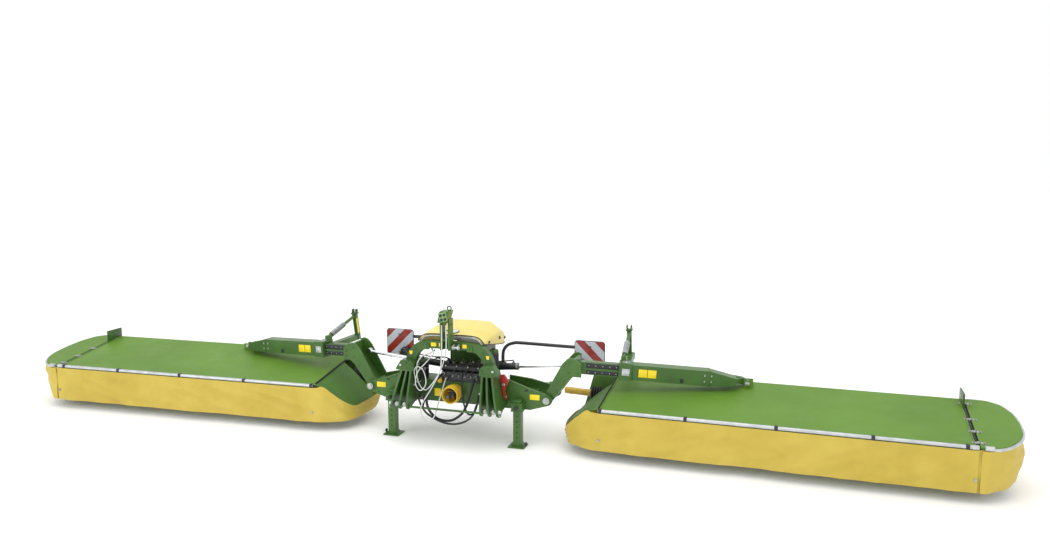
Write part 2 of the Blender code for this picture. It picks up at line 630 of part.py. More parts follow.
def cutterbar(side):
    """Cutterbar on its skids, with the end arms and the carrier beam under the cover."""
    skid = [(0.220, 0.050), (0.260, 0.028), (0.340, 0.0), (0.580, 0.0), (0.640, 0.020),
            (0.640, 0.050), (0.600, BAR_TOP), (0.300, BAR_TOP)]
    bar = prism(skid, "x", -0.020, 3.330)
    beam = block((0.300, 3.240), (0.800, 0.870), (0.500, 0.570))
    pieces = [beam]
    for x in (0.305, 3.170):
        pieces.append(prism([(0.600, 0.030), (0.640, 0.030), (0.720, 0.066), (0.880, 0.505),
                             (0.868, 0.560), (0.805, 0.560), (0.675, 0.077), (0.600, 0.074)],
                            "x", x, x + 0.040))
    pieces.append(block((0.320, 0.520), (0.690, 0.840), (0.330, 0.510)))
    unit = moved(fuse(bar, *pieces), mower_matrix())
    return finish(unit, f"cutterbar_{side_name(side)}", HANG_PIN, side, STEEL, 0.5, 0.6)


def disc_centre(index):
    """Where a disc's axis meets the top of the cutterbar."""
    x = CUTTING_MIDDLE + (index - (DISCS - 1) / 2) * DISC_PITCH
    return mower_matrix() @ Vector((x, DISC_Y, BAR_TOP))


def disc(side, index):
    """Cutting disc with two knives, a quarter turn on from its neighbour."""
    centre = disc_centre(index)
    up = Vector((0, 0, 1))
    plate = rod(centre + up * 0.006, centre + up * 0.026, DISC_R, DISC_R * 0.86, sides=20)
    crown = rod(centre + up * 0.024, centre + up * 0.052, 0.070, 0.030, sides=12)
    knives = block((-KNIFE_R, KNIFE_R), (-0.024, 0.024), (0.008, 0.014))
    turn = math.radians(90 * (index % 2)) + MOWER_YAW
    knives = moved(knives, Matrix.Translation(centre) @ Matrix.Rotation(turn, 4, "Z"))
    return finish(fuse(plate, crown, knives), f"disc_{index + 1}_{side_name(side)}", centre, side,
                  STEEL, 0.4, 0.8)


# --- hoses and cables ----------------------------------------------------------------------
def smooth_route(points, count):
    """Evenly spaced points on a Catmull-Rom curve through the route."""
    points = [Vector(point) for point in points]
    padded = [2 * points[0] - points[1]] + points + [2 * points[-1] - points[-2]]
    fine = []
    for index in range(1, len(padded) - 2):
        p0, p1, p2, p3 = padded[index - 1:index + 3]
        for step in range(24):
            t = step / 24
            fine.append(0.5 * ((2 * p1) + (p2 - p0) * t + (2 * p0 - 5 * p1 + 4 * p2 - p3) * t ** 2
                               + (3 * p1 - p0 - 3 * p2 + p3) * t ** 3))
    fine.append(points[-1])
    lengths = [0.0]
    for before, after in zip(fine, fine[1:]):
        lengths.append(lengths[-1] + (after - before).length)
    even, place = [], 0
    for step in range(count):
        target = lengths[-1] * step / (count - 1)
        while place < len(lengths) - 2 and lengths[place + 1] < target:
            place += 1
        share = (target - lengths[place]) / (lengths[place + 1] - lengths[place])
        even.append(fine[place].lerp(fine[place + 1], share))
    return even


def square_ends(points, route):
    """Make a cord's first and last stretch run straight out of its fitting."""
    for end, beside, lead in ((0, 1, 1), (-1, -2, -2)):
        out = (Vector(route[lead]) - Vector(route[end])).normalized()
        points[beside] = points[end] + out * (points[beside] - points[end]).length
    return points


def cord(name, route, radius, colour, count=60):
    """A hose or cable along a route, as a capped round curve."""
    curve = bpy.data.curves.new(name, "CURVE")
    curve.dimensions = "3D"
    curve.bevel_depth = radius
    curve.bevel_resolution = 2
    curve.use_fill_caps = True
    line = curve.splines.new("POLY")
    points = square_ends(smooth_route(route, count), route)
    line.points.add(len(points) - 1)
    for slot, point in zip(line.points, points):
        slot.co = (point.x, point.y - MIDDLE_Y, point.z, 1.0)
    curve.materials.append(material(name, colour, 0.5, 0.0))
    hose = bpy.data.objects.new(name, curve)
    bpy.context.scene.collection.objects.link(hose)
    return hose


HOSE_MAIN = [(0.230, -0.0304, 0.660), (0.230, -0.080, 0.660), (0.218, -0.150, 0.560),
             (0.190, -0.190, 0.430), (0.135, -0.220, 0.325), (0.030, -0.240, 0.258),
             (-0.100, -0.250, 0.266), (-0.195, -0.250, 0.345), (-0.225, -0.240, 0.460),
             (-0.180, -0.190, 0.600), (-0.125, -0.080, 0.682), (-0.125, -0.0304, 0.682)]
HOSE_SIDE = [(0.3747, -0.245, 0.560), (0.335, -0.245, 0.560), (0.315, -0.262, 0.430),
             (0.255, -0.278, 0.315), (0.125, -0.290, 0.248), (-0.040, -0.290, 0.250),
             (-0.220, -0.278, 0.330), (-0.305, -0.262, 0.460), (-0.334, -0.245, 0.600),
             (-0.3737, -0.245, 0.600)]
CABLE_LONG = [(-0.020, -0.325, 1.2698), (-0.020, -0.325, 1.220), (-0.020, -0.332, 0.980),
              (-0.040, -0.340, 0.780), (-0.130, -0.352, 0.600), (-0.225, -0.363, 0.440),
              (-0.235, -0.363, 0.340), (-0.170, -0.350, 0.255), (-0.105, -0.335, 0.320),
              (-0.080, -0.260, 0.470), (-0.078, -0.090, 0.645), (-0.078, -0.0304, 0.645)]
CABLE_LOOP = [(0.015, -0.300, 1.2683), (0.015, -0.300, 1.220), (0.015, -0.308, 0.980),
              (-0.040, -0.305, 0.800), (-0.140, -0.290, 0.640), (-0.235, -0.270, 0.560),
              (-0.310, -0.255, 0.640), (-0.325, -0.245, 0.800), (-0.280, -0.225, 0.890),
              (-0.195, -0.158, 0.925), (-0.195, -0.158, 0.9746)]


def cords():
    """The two hydraulic hoses and the two control cables at the headstock."""
    cord("hose_main", HOSE_MAIN, 0.013, BLACK)
    cord("hose_side", HOSE_SIDE, 0.010, BLACK)
    cord("cable_long", CABLE_LONG, 0.006, GREY)
    cord("cable_loop", CABLE_LOOP, 0.006, GREY)


def main():
    """Draw the fixed frame, then both side units, then the cords."""
    start_clean()
    main_beam()
    headstock()
    hose_mast()
    centre_housing()
    hydraulic_block()
    hood()
    pto_guard()
    pto_shaft()
    board_carrier()
    lock_bracket()
    for side in (1, -1):
        side_arm(side)
        stand(side)
        warning_board(side)
        boom_link(side)
        outer_boom(side)
        lift_body(side)
        lift_rod(side)
        drive_shaft(side)
        top_cover(side)
        inner_guard(side)
        skirt(side)
        end_guard(side)
        end_curtain(side)
        cutterbar(side)
        for index in range(DISCS):
            disc(side, index)
    cords()


main()
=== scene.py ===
"""Looks of a rear-mounted butterfly disc mower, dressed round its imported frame.

Lengths are metres. +X is the right-hand side for a person who stands at the hitch and faces the
machine, -Y is the hitch side and z = 0 is the floor. Shapes are drawn for the side at +X in the
maker's frame, whose y = 0 is the front of the wing pivots. Side.LEFT mirrors them.
"""
import logging
import math
from dataclasses import dataclass
from enum import Enum
from typing import Sequence

import bmesh
import bpy
from mathutils import Matrix, Vector, noise


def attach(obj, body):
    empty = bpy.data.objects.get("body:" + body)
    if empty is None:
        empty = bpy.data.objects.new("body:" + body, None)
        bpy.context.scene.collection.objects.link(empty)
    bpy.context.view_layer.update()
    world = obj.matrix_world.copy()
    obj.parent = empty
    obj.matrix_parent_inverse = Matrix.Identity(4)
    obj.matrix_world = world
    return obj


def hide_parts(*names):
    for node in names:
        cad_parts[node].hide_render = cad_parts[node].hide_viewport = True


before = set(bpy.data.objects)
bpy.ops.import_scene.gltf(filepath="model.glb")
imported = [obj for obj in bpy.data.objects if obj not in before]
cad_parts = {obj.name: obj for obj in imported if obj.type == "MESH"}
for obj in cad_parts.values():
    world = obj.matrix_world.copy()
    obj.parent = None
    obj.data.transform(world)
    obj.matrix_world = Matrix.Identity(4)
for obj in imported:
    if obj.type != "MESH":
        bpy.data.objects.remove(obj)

LOG = logging.getLogger("disc_mower")
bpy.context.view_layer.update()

Point = Sequence[float]
Pair = tuple[float, float]

MIDDLE_Y = 0.394            # the maker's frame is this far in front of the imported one
SOFT_ANGLE = math.radians(35)


class Side(Enum):
    """The two side units; the value is the sign of x."""

    RIGHT = 1
    LEFT = -1

    @property
    def label(self) -> str:
        """The side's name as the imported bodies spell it."""
        return self.name.lower()


class Pattern(Enum):
    """Surface relief of a finish."""

    PEEL = "orange peel of sprayed paint"
    WEAVE = "coated cloth"
    LEATHER = "grained mould"
    BRUSHED = "drawn or brushed metal"
    SPANGLE = "zinc crystals"
    STRIPE = "retroreflecting stripes"


# --- finishes ------------------------------------------------------------------------------
def linear(hex_colour: str) -> tuple[float, float, float, float]:
    """Turn an sRGB hex colour into the linear one that the shaders take.

    Args:
        hex_colour: six hex digits, with or without a leading #.

    Returns:
        Red, green, blue and an alpha of 1.
    """
    digits = hex_colour.lstrip("#")
    parts = [int(digits[at:at + 2], 16) / 255 for at in (0, 2, 4)]
    red, green, blue = (c / 12.92 if c <= 0.04045 else ((c + 0.055) / 1.055) ** 2.4 for c in parts)
    return red, green, blue, 1.0


def add(tree: bpy.types.NodeTree, kind: str, inputs: dict | None = None,
        **settings) -> bpy.types.Node:
    """Add one node to a tree.

    Args:
        tree: the shader or geometry tree.
        kind: the node's type.
        inputs: an input's name or number, to a value or to the socket that feeds it.
        settings: the node's own properties.

    Returns:
        The new node.
    """
    made = tree.nodes.new(kind)
    for key, value in settings.items():
        setattr(made, key, value)
    for key, value in (inputs or {}).items():
        if isinstance(value, bpy.types.NodeSocket):
            tree.links.new(value, made.inputs[key])
        else:
            made.inputs[key].default_value = value
    return made


@dataclass(frozen=True)
class Finish:
    """One finish: its colours, gloss and relief.

    colour drifts to shade in patches; worn is what shows where it is rubbed or dusty. patch and
    grain are the sizes in metres of a patch and of one grain of relief. Real peel and threads are
    finer than a machine this wide can show, so grains are drawn 3 to 18 mm across.
    """

    name: str
    slot: str
    colour: str
    shade: str
    worn: str
    roughness: float
    pattern: Pattern = Pattern.PEEL
    metallic: float = 0.0
    ior: float = 1.5
    patch: float = 0.30
    grain: float = 0.006
    relief: float = 0.12
    wear: float = 0.25
    coat: float = 0.0
    lean: float = 1.0           # which way a stripe leans

    def relief_of(self, tree: bpy.types.NodeTree, where: bpy.types.NodeSocket) -> bpy.types.NodeSocket:
        """Lay the pattern's height over object coordinates.

        Args:
            tree: the material's tree.
            where: object coordinates.

        Returns:
            The height socket.
        """
        scale = 1.0 / self.grain
        if self.pattern is Pattern.WEAVE:
            threads = [add(tree, "ShaderNodeTexWave", {"Vector": where, "Scale": scale / 6.3,
                                                       "Distortion": 0.6},
                           bands_direction=way).outputs["Fac"] for way in ("X", "Z")]
            return add(tree, "ShaderNodeMath", {0: threads[0], 1: threads[1]},
                       operation="MULTIPLY").outputs[0]
        if self.pattern in (Pattern.LEATHER, Pattern.SPANGLE, Pattern.STRIPE):
            return add(tree, "ShaderNodeTexVoronoi", {"Vector": where, "Scale": scale}
                       ).outputs["Distance"]
        if self.pattern is Pattern.BRUSHED:
            drawn = add(tree, "ShaderNodeMapping", {"Vector": where, "Scale": (0.08, 1.0, 1.0)})
            where = drawn.outputs[0]
        return add(tree, "ShaderNodeTexNoise", {"Vector": where, "Scale": scale, "Detail": 2.0}
                   ).outputs["Fac"]

    def stripes(self, tree: bpy.types.NodeTree, where: bpy.types.NodeSocket) -> bpy.types.NodeSocket:
        """Slant the board's stripes, 1 on the second colour.

        Args:
            tree: the material's tree.
            where: object coordinates.

        Returns:
            A factor between the first colour and the second.
        """
        axes = add(tree, "ShaderNodeSeparateXYZ", {"Vector": where})
        slant = add(tree, "ShaderNodeMath", {0: axes.outputs["X"], 1: self.lean,
                                             2: axes.outputs["Z"]}, operation="MULTIPLY_ADD")
        count = add(tree, "ShaderNodeMath", {0: slant.outputs[0], 1: 1 / STRIPE_RUN,
                                             2: STRIPE_START}, operation="MULTIPLY_ADD")
        share = add(tree, "ShaderNodeMath", {0: count.outputs[0]}, operation="FRACT")
        return add(tree, "ShaderNodeMath", {0: share.outputs[0], 1: 0.5},
                   operation="LESS_THAN").outputs[0]

    def material(self) -> bpy.types.Material:
        """Build the finish once and hand out the same material after that."""
        made = bpy.data.materials.get(self.name)
        if made:
            return made
        made = bpy.data.materials.new(self.name)
        made.use_nodes = True
        made.diffuse_color = linear(self.colour)
        tree = made.node_tree
        surface = tree.nodes["Principled BSDF"]
        where = add(tree, "ShaderNodeTexCoord").outputs["Object"]
        drift = add(tree, "ShaderNodeTexNoise", {"Vector": where, "Scale": 1 / self.patch,
                                                 "Detail": 3.0, "Roughness": 0.55})
        spread = add(tree, "ShaderNodeMapRange", {"Value": drift.outputs["Fac"], "From Min": 0.35,
                                                  "From Max": 0.65})
        fine = add(tree, "ShaderNodeTexNoise", {"Vector": where, "Scale": 3 / self.patch,
                                                "Detail": 6.0, "Roughness": 0.65})
        rubbed = add(tree, "ShaderNodeMapRange", {"Value": fine.outputs["Fac"], "From Min": 0.52,
                                                  "From Max": 0.80, "To Max": self.wear})
        mixing = self.stripes(tree, where) if self.pattern is Pattern.STRIPE else spread.outputs[0]
        tone = add(tree, "ShaderNodeMix", {"Factor": mixing, 6: linear(self.colour),
                                           7: linear(self.shade)}, data_type="RGBA")
        dusty = add(tree, "ShaderNodeMix", {"Factor": rubbed.outputs[0], 6: tone.outputs[2],
                                            7: linear(self.worn)}, data_type="RGBA")
        gloss = add(tree, "ShaderNodeMapRange", {"Value": fine.outputs["Fac"], "From Min": 0.3,
                                                 "From Max": 0.7, "To Min": self.roughness * 0.85,
                                                 "To Max": min(1.0, self.roughness * 1.2)})
        bump = add(tree, "ShaderNodeBump", {"Height": self.relief_of(tree, where),
                                            "Strength": self.relief, "Distance": self.grain / 2})
        for name, value in (("Base Color", dusty.outputs[2]), ("Roughness", gloss.outputs[0]),
                            ("Normal", bump.outputs[0])):
            tree.links.new(value, surface.inputs[name])
        surface.inputs["Metallic"].default_value = self.metallic
        if not self.metallic:
            surface.inputs["IOR"].default_value = self.ior
        surface.inputs["Coat Weight"].default_value = self.coat
        return made


BOARD_INNER, BOARD_EDGE, BOARD_TOP = 0.976, 0.334, 0.855
STRIPE_RUN = BOARD_EDGE * 2 / 3     # two stripes along the board's edge
# counts them from the board's lower inner corner
STRIPE_START = 10 - (BOARD_INNER + BOARD_TOP - BOARD_EDGE) / STRIPE_RUN


class Finishes:
    """Every finish on the machine."""

    # two-coat sprayed enamel on welded steel: deep green, glossy enough to catch the sky
    BODY = Finish("sprayed_enamel_green", "frame_green", "#426a28", "#385c22", "#5f7d48", 0.38,
                  coat=0.12, wear=0.18, ior=1.42)
    # the same enamel with painted shade: darker, for the centre frame, which stands in its own shade
    FRAME = Finish("sprayed_enamel_deep_green", "frame_green", "#3b6126", "#31521f", "#5b7744", 0.40,
                   coat=0.10, wear=0.18, ior=1.42)
    # powder coat on pressed sheet: brighter, half matt, with faint dust
    COVER = Finish("powder_coat_bright_green", "cover_green", "#5f8728", "#577d23", "#7f9a5a", 0.50,
                   patch=0.70, wear=0.14, grain=0.010, relief=0.05, ior=1.38)
    # coated cloth flap at the inner end, darker and softer than the sheet beside it
    FLAP = Finish("pvc_coated_cloth_green", "cover_green", "#4a7526", "#426a21", "#6a8650", 0.58,
                  Pattern.WEAVE, patch=0.30, grain=0.008, relief=0.08)
    # lighter powder coat on the socket box, flat and even
    SOCKET = Finish("powder_coat_light_green", "cover_green", "#7fa763", "#74995a", "#a4bb92", 0.45)
    # PVC-coated polyester cloth: satin, with a faint thread and grubby smears
    CURTAIN = Finish("pvc_coated_cloth_yellow", "curtain", "#c4ae4c", "#b9a240", "#a08c3a", 0.52,
                     Pattern.WEAVE, patch=0.45, grain=0.008, relief=0.10, wear=0.28, ior=1.40)
    # rotation-moulded polyethylene: soft sheen and a slight grain
    HOOD = Finish("moulded_polyethylene_pale_yellow", "hood_yellow", "#e3cf72", "#dcc768", "#c6b35f",
                  0.38, Pattern.LEATHER, grain=0.005, relief=0.04, wear=0.12)
    # the same plastic in signal yellow on the guard ring, scuffed at the rim
    GUARD = Finish("moulded_polyethylene_yellow", "guard_yellow", "#e8c22c", "#dcb526", "#a98d2c",
                   0.42, Pattern.LEATHER, grain=0.005, relief=0.06)
    # extruded polyethylene tube, gone ochre with grease and dust
    SHAFT = Finish("moulded_tube_ochre", "guard_yellow", "#d5b046", "#c7a23c", "#9c8136", 0.40,
                   Pattern.LEATHER, grain=0.006, relief=0.06)
    # cast vinyl film: smooth and bright, blank
    STICKER = Finish("vinyl_film_yellow", "guard_yellow", "#f7da1c", "#f0d118", "#c9ae2c", 0.30,
                     patch=0.10, relief=0.03, wear=0.15)
    # the same film in black
    LABEL = Finish("vinyl_film_black", "black_paint", "#1b1d1c", "#232524", "#4a4c4a", 0.32,
                   patch=0.10, relief=0.03)
    # moulded nitrile rubber: dull black that greys where it is dusty
    RUBBER = Finish("moulded_rubber", "hose_black", "#17181a", "#1f2022", "#3c3c3b", 0.62,
                    Pattern.LEATHER, patch=0.12, grain=0.004, relief=0.15)
    # cast nylon: black with a waxy sheen
    NYLON = Finish("cast_nylon_black", "black", "#1c1e20", "#25272a", "#4b4d4f", 0.45,
                   Pattern.LEATHER, patch=0.10, grain=0.004, relief=0.10)
    # sprayed black enamel: glossier than the plastics beside it
    BLACK = Finish("sprayed_enamel_black", "black_paint", "#1d1f20", "#282a2b", "#55575a", 0.35,
                   coat=0.2, patch=0.15)
    # hot-dip galvanised tube: dull bright grey with crystal patches
    ZINC = Finish("hot_dip_zinc", "steel", "#c9ccce", "#b4b8bb", "#e4e6e6", 0.40, Pattern.SPANGLE,
                  metallic=0.65, patch=0.08, grain=0.018, relief=0.05)
    # zinc-plated turned steel: bright, with fine tool lines
    STEEL = Finish("zinc_plated_steel", "steel", "#b9bbbc", "#a3a6a8", "#77736b", 0.34,
                   Pattern.BRUSHED, metallic=1.0, patch=0.06)
    # bare hardened steel: dark grey with brown rust stains
    BLADE = Finish("hardened_steel_bar", "steel", "#6f6f6c", "#5d5c58", "#6d533c", 0.48,
                   Pattern.BRUSHED, metallic=0.8, patch=0.10)
    # hard chrome on the piston rods: nearly a mirror
    CHROME = Finish("hard_chrome", "chrome", "#e2e4e6", "#d6d9dc", "#b9bbbd", 0.14,
                    Pattern.BRUSHED, metallic=1.0, patch=0.20, relief=0.02)
    # sprayed red enamel under a clear coat
    RED = Finish("sprayed_enamel_red", "red", "#a3201a", "#8f1a15", "#b75a4c", 0.35, coat=0.3,
                 patch=0.10)
    # soft PVC sheath: matt light grey
    CABLE = Finish("pvc_sheath_grey", "cable_grey", "#c9ccc9", "#bcc0bd", "#8f9390", 0.50,
                   Pattern.LEATHER, patch=0.05, grain=0.003, relief=0.08)
    # smoked acrylic lens: very smooth and dark
    GLASS = Finish("lamp_lens_smoked", "black", "#2c2f33", "#24272a", "#54575b", 0.12, coat=0.6,
                   patch=0.05, relief=0.02)
    # prismatic film: red and grey-white bars under a clear skin of small cells
    BOARD_RIGHT = Finish("prismatic_film_right", "board", "#8f1d14", "#b7bfc9", "#8d8a86", 0.33,
                         Pattern.STRIPE, patch=0.10, grain=0.009, relief=0.06, coat=0.4, wear=0.2)
    BOARD_LEFT = Finish("prismatic_film_left", "board", "#8f1d14", "#b7bfc9", "#8d8a86", 0.33,
                        Pattern.STRIPE, patch=0.10, grain=0.009, relief=0.06, coat=0.4, wear=0.2,
                        lean=-1.0)


# --- shapes --------------------------------------------------------------------------------
class Shape:
    """A mesh put together from bevelled plates, turned parts and tubes."""

    def __init__(self) -> None:
        """Start empty."""
        self.bm = bmesh.new()

    def take(self, other: bmesh.types.BMesh, matrix: Matrix | None = None) -> "Shape":
        """Add another mesh's faces, and free it.

        Args:
            other: the mesh to add.
            matrix: where it goes.

        Returns:
            This shape.
        """
        if matrix is not None:
            other.transform(matrix)
        spare = bpy.data.meshes.new("spare")
        other.to_mesh(spare)
        other.free()
        self.bm.from_mesh(spare)
        bpy.data.meshes.remove(spare)
        return self

    def plate(self, outline: Sequence[Pair], axis: str, low: float, high: float,
              bevel: float = 0.003, matrix: Matrix | None = None) -> "Shape":
        """Add a plate cut to an outline, with its edges eased.

        Args:
            outline: corners in the plane across the axis: (y, z), (x, z) or (x, y).
            axis: the axis that the thickness runs along.
            low: where the plate starts on it.
            high: where it ends.
            bevel: the eased edge's width.
            matrix: where the plate goes.

        Returns:
            This shape.
        """
        spot = {"x": lambda a, b, t: (t, a, b), "y": lambda a, b, t: (a, t, b),
                "z": lambda a, b, t: (a, b, t)}[axis]
        bm = bmesh.new()
        first = [bm.verts.new(spot(a, b, low)) for a, b in outline]
        second = [bm.verts.new(spot(a, b, high)) for a, b in outline]
        bm.faces.new(first)
        bm.faces.new(second[::-1])
        for here, after in zip(range(len(outline)), [*range(1, len(outline)), 0]):
            bm.faces.new((first[here], first[after], second[after], second[here]))
        bmesh.ops.recalc_face_normals(bm, faces=bm.faces)
        if bevel:
            sharp = [edge for edge in bm.edges if edge.calc_face_angle(0.0) > SOFT_ANGLE]
            bmesh.ops.bevel(bm, geom=sharp, offset=bevel, segments=2, profile=0.5,
                            affect="EDGES", clamp_overlap=True)
        return self.take(bm, matrix)

    def block(self, x_range: Pair, y_range: Pair, z_range: Pair, bevel: float = 0.003,
              matrix: Matrix | None = None) -> "Shape":
        """Add a box between two x, two y and two z values, and return this shape."""
        (x0, x1), (y0, y1) = x_range, y_range
        return self.plate([(x0, y0), (x1, y0), (x1, y1), (x0, y1)], "z", *z_range, bevel=bevel,
                          matrix=matrix)

    def turned(self, start: Point, end: Point, profile: Sequence[Pair], sides: int = 20,
               matrix: Matrix | None = None) -> "Shape":
        """Add a part turned on a lathe.

        Args:
            start: where the lathe axis starts.
            end: a point that it runs towards.
            profile: (distance from start, radius) pairs; a radius of 0 closes the end.
            sides: faces round it.
            matrix: where it goes.

        Returns:
            This shape.
        """
        start, end = Vector(start), Vector(end)
        turn = Vector((0, 0, 1)).rotation_difference(end - start).to_matrix().to_4x4()
        bm = bmesh.new()
        rings = []
        for along, radius in profile:
            angles = [2 * math.pi * at / sides for at in range(sides)]
            rings.append([bm.verts.new((radius * math.cos(a), radius * math.sin(a), along))
                          for a in angles] if radius > 1e-6 else [bm.verts.new((0, 0, along))])
        for lower, upper in zip(rings, rings[1:]):
            for at in range(sides):
                beside = (at + 1) % sides
                corners = [lower[at % len(lower)], lower[beside % len(lower)],
                           upper[beside % len(upper)], upper[at % len(upper)]]
                bm.faces.new(list(dict.fromkeys(corners)))
        for ring in (rings[0], rings[-1]):
            if len(ring) > 1:
                bm.faces.new(ring)
        bmesh.ops.recalc_face_normals(bm, faces=bm.faces)
        bm.transform(Matrix.Translation(start) @ turn)
        return self.take(bm, matrix)

    def rod(self, start: Point, end: Point, radius: float, end_radius: float | None = None,
            sides: int = 20, ease: float = 0.002, matrix: Matrix | None = None) -> "Shape":
        """Add a round bar with eased ends between two points, and return this shape."""
        length = (Vector(end) - Vector(start)).length
        last = radius if end_radius is None else end_radius
        ease = min(ease, length / 3, radius / 2, last / 2)
        return self.turned(start, end, [(0, radius - ease), (ease, radius), (length - ease, last),
                                        (length, last - ease)], sides, matrix)

    def tube(self, path: Sequence[Point], radius: float, sides: int = 12, closed: bool = False,
             matrix: Matrix | None = None) -> "Shape":
        """Add a bent tube.

        Args:
            path: points on its middle line.
            radius: outside radius.
            sides: faces round it; 4 makes a square tube.
            closed: join the end to the start.
            matrix: where it goes.

        Returns:
            This shape.
        """
        points = [Vector(point) for point in path]
        count = len(points)
        bm = bmesh.new()
        rings, across = [], None
        for at, here in enumerate(points):
            before = points[at - 1] if at or closed else here
            after = points[(at + 1) % count] if at < count - 1 or closed else here
            along = (after - before).normalized()
            if across is None:
                across = along.orthogonal().normalized()
                if abs(along.z) < 0.9:
                    across = along.cross(Vector((0, 0, 1))).normalized()
            across = (across - along * across.dot(along)).normalized()
            up = along.cross(across)
            turns = [2 * math.pi * (step + 0.5) / sides for step in range(sides)]
            rings.append([bm.verts.new(here + (across * math.cos(t) + up * math.sin(t)) * radius)
                          for t in turns])
        pairs = list(zip(rings, rings[1:])) + ([(rings[-1], rings[0])] if closed else [])
        for lower, upper in pairs:
            for step in range(sides):
                beside = (step + 1) % sides
                bm.faces.new((lower[step], lower[beside], upper[beside], upper[step]))
        if not closed:
            bm.faces.new(rings[0])
            bm.faces.new(rings[-1])
        bmesh.ops.recalc_face_normals(bm, faces=bm.faces)
        return self.take(bm, matrix)

    def shell(self, rows: Sequence[Sequence[Point]], thickness: float,
              matrix: Matrix | None = None) -> "Shape":
        """Add a closed skin of one thickness over a grid of points.

        Args:
            rows: the grid, row by row.
            thickness: how far the skin stands in from the grid, to the left of a row by a column.
            matrix: where it goes.

        Returns:
            This shape.
        """
        deep, wide = len(rows), len(rows[0])
        points = [[Vector(point) for point in row] for row in rows]

        def facing(at: int, beside: int) -> Vector:
            """The grid's normal at one point."""
            down = points[min(at + 1, deep - 1)][beside] - points[max(at - 1, 0)][beside]
            along = points[at][min(beside + 1, wide - 1)] - points[at][max(beside - 1, 0)]
            return along.cross(down).normalized()

        bm = bmesh.new()
        outer = [[bm.verts.new(point) for point in row] for row in points]
        inner = [[bm.verts.new(points[a][b] - facing(a, b) * thickness) for b in range(wide)]
                 for a in range(deep)]
        for skin in (outer, inner):
            for a in range(deep - 1):
                for b in range(wide - 1):
                    bm.faces.new((skin[a][b], skin[a][b + 1], skin[a + 1][b + 1], skin[a + 1][b]))
        rim = ([(0, b) for b in range(wide)] + [(a, wide - 1) for a in range(1, deep)]
               + [(deep - 1, b) for b in range(wide - 2, -1, -1)]
               + [(a, 0) for a in range(deep - 2, 0, -1)])
        for (a, b), (c, d) in zip(rim, rim[1:] + rim[:1]):
            bm.faces.new((outer[a][b], outer[c][d], inner[c][d], inner[a][b]))
        bmesh.ops.recalc_face_normals(bm, faces=bm.faces)
        return self.take(bm, matrix)

    def make(self, name: str, finish: Finish, body: str, side: Side = Side.RIGHT,
             replaces: Sequence[str] = ()) -> bpy.types.Object:
        """Turn the shape into a finished piece that rides on a body.

        Args:
            name: the piece's name, with its side's label where it has one.
            finish: its finish.
            body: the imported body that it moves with.
            side: Side.LEFT mirrors it.
            replaces: CAD nodes that it stands for.

        Returns:
            The piece.
        """
        mesh = bpy.data.meshes.new(name)
        self.bm.to_mesh(mesh)
        self.bm.free()
        mesh.transform(Matrix.Translation((0, -MIDDLE_Y, 0)))
        if side is Side.LEFT:
            mesh.transform(Matrix.Diagonal((-1, 1, 1, 1)))
            mesh.flip_normals()
        mesh.shade_smooth()
        mesh.set_sharp_from_angle(angle=SOFT_ANGLE)
        return dress(bpy.data.objects.new(name, mesh), finish, body, replaces)


def dress(piece: bpy.types.Object, finish: Finish, body: str,
          replaces: Sequence[str] = ()) -> bpy.types.Object:
    """Link a piece, give it its finish and put it on its body.

    Args:
        piece: the new object, in place.
        finish: its finish.
        body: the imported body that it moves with.
        replaces: CAD nodes that it stands for.

    Returns:
        The piece.
    """
    bpy.context.scene.collection.objects.link(piece)
    piece.data.materials.clear()
    piece.data.materials.append(finish.material())
    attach(piece, body)
    if replaces:
        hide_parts(*replaces)
    LOG.info("%s: %s on %s", piece.name, finish.name, body)
    return piece


def arc(centre: Pair, radius: float, start: float, end: float, steps: int) -> list[Pair]:
    """Points round a centre, from one angle in degrees to another."""
    turns = [math.radians(start + (end - start) * step / steps) for step in range(steps + 1)]
    return [(centre[0] + radius * math.cos(t), centre[1] + radius * math.sin(t)) for t in turns]


def smooth_route(points: Sequence[Point], count: int) -> list[Vector]:
    """Evenly spaced points on a Catmull-Rom curve.

    Args:
        points: what the curve goes through.
        count: how many points to give back.

    Returns:
        The points.
    """
    points = [Vector(point) for point in points]
    padded = [2 * points[0] - points[1]] + points + [2 * points[-1] - points[-2]]
    fine = []
    for index in range(1, len(padded) - 2):
        p0, p1, p2, p3 = padded[index - 1:index + 3]
        for step in range(24):
            t = step / 24
            fine.append(0.5 * ((2 * p1) + (p2 - p0) * t + (2 * p0 - 5 * p1 + 4 * p2 - p3) * t ** 2
                               + (3 * p1 - p0 - 3 * p2 + p3) * t ** 3))
    fine.append(points[-1])
    lengths = [0.0]
    for before, after in zip(fine, fine[1:]):
        lengths.append(lengths[-1] + (after - before).length)
    even, place = [], 0
    for step in range(count):
        target = lengths[-1] * step / (count - 1)
        while place < len(lengths) - 2 and lengths[place + 1] < target:
            place += 1
        share = (target - lengths[place]) / (lengths[place + 1] - lengths[place])
        even.append(fine[place].lerp(fine[place + 1], share))
    return even


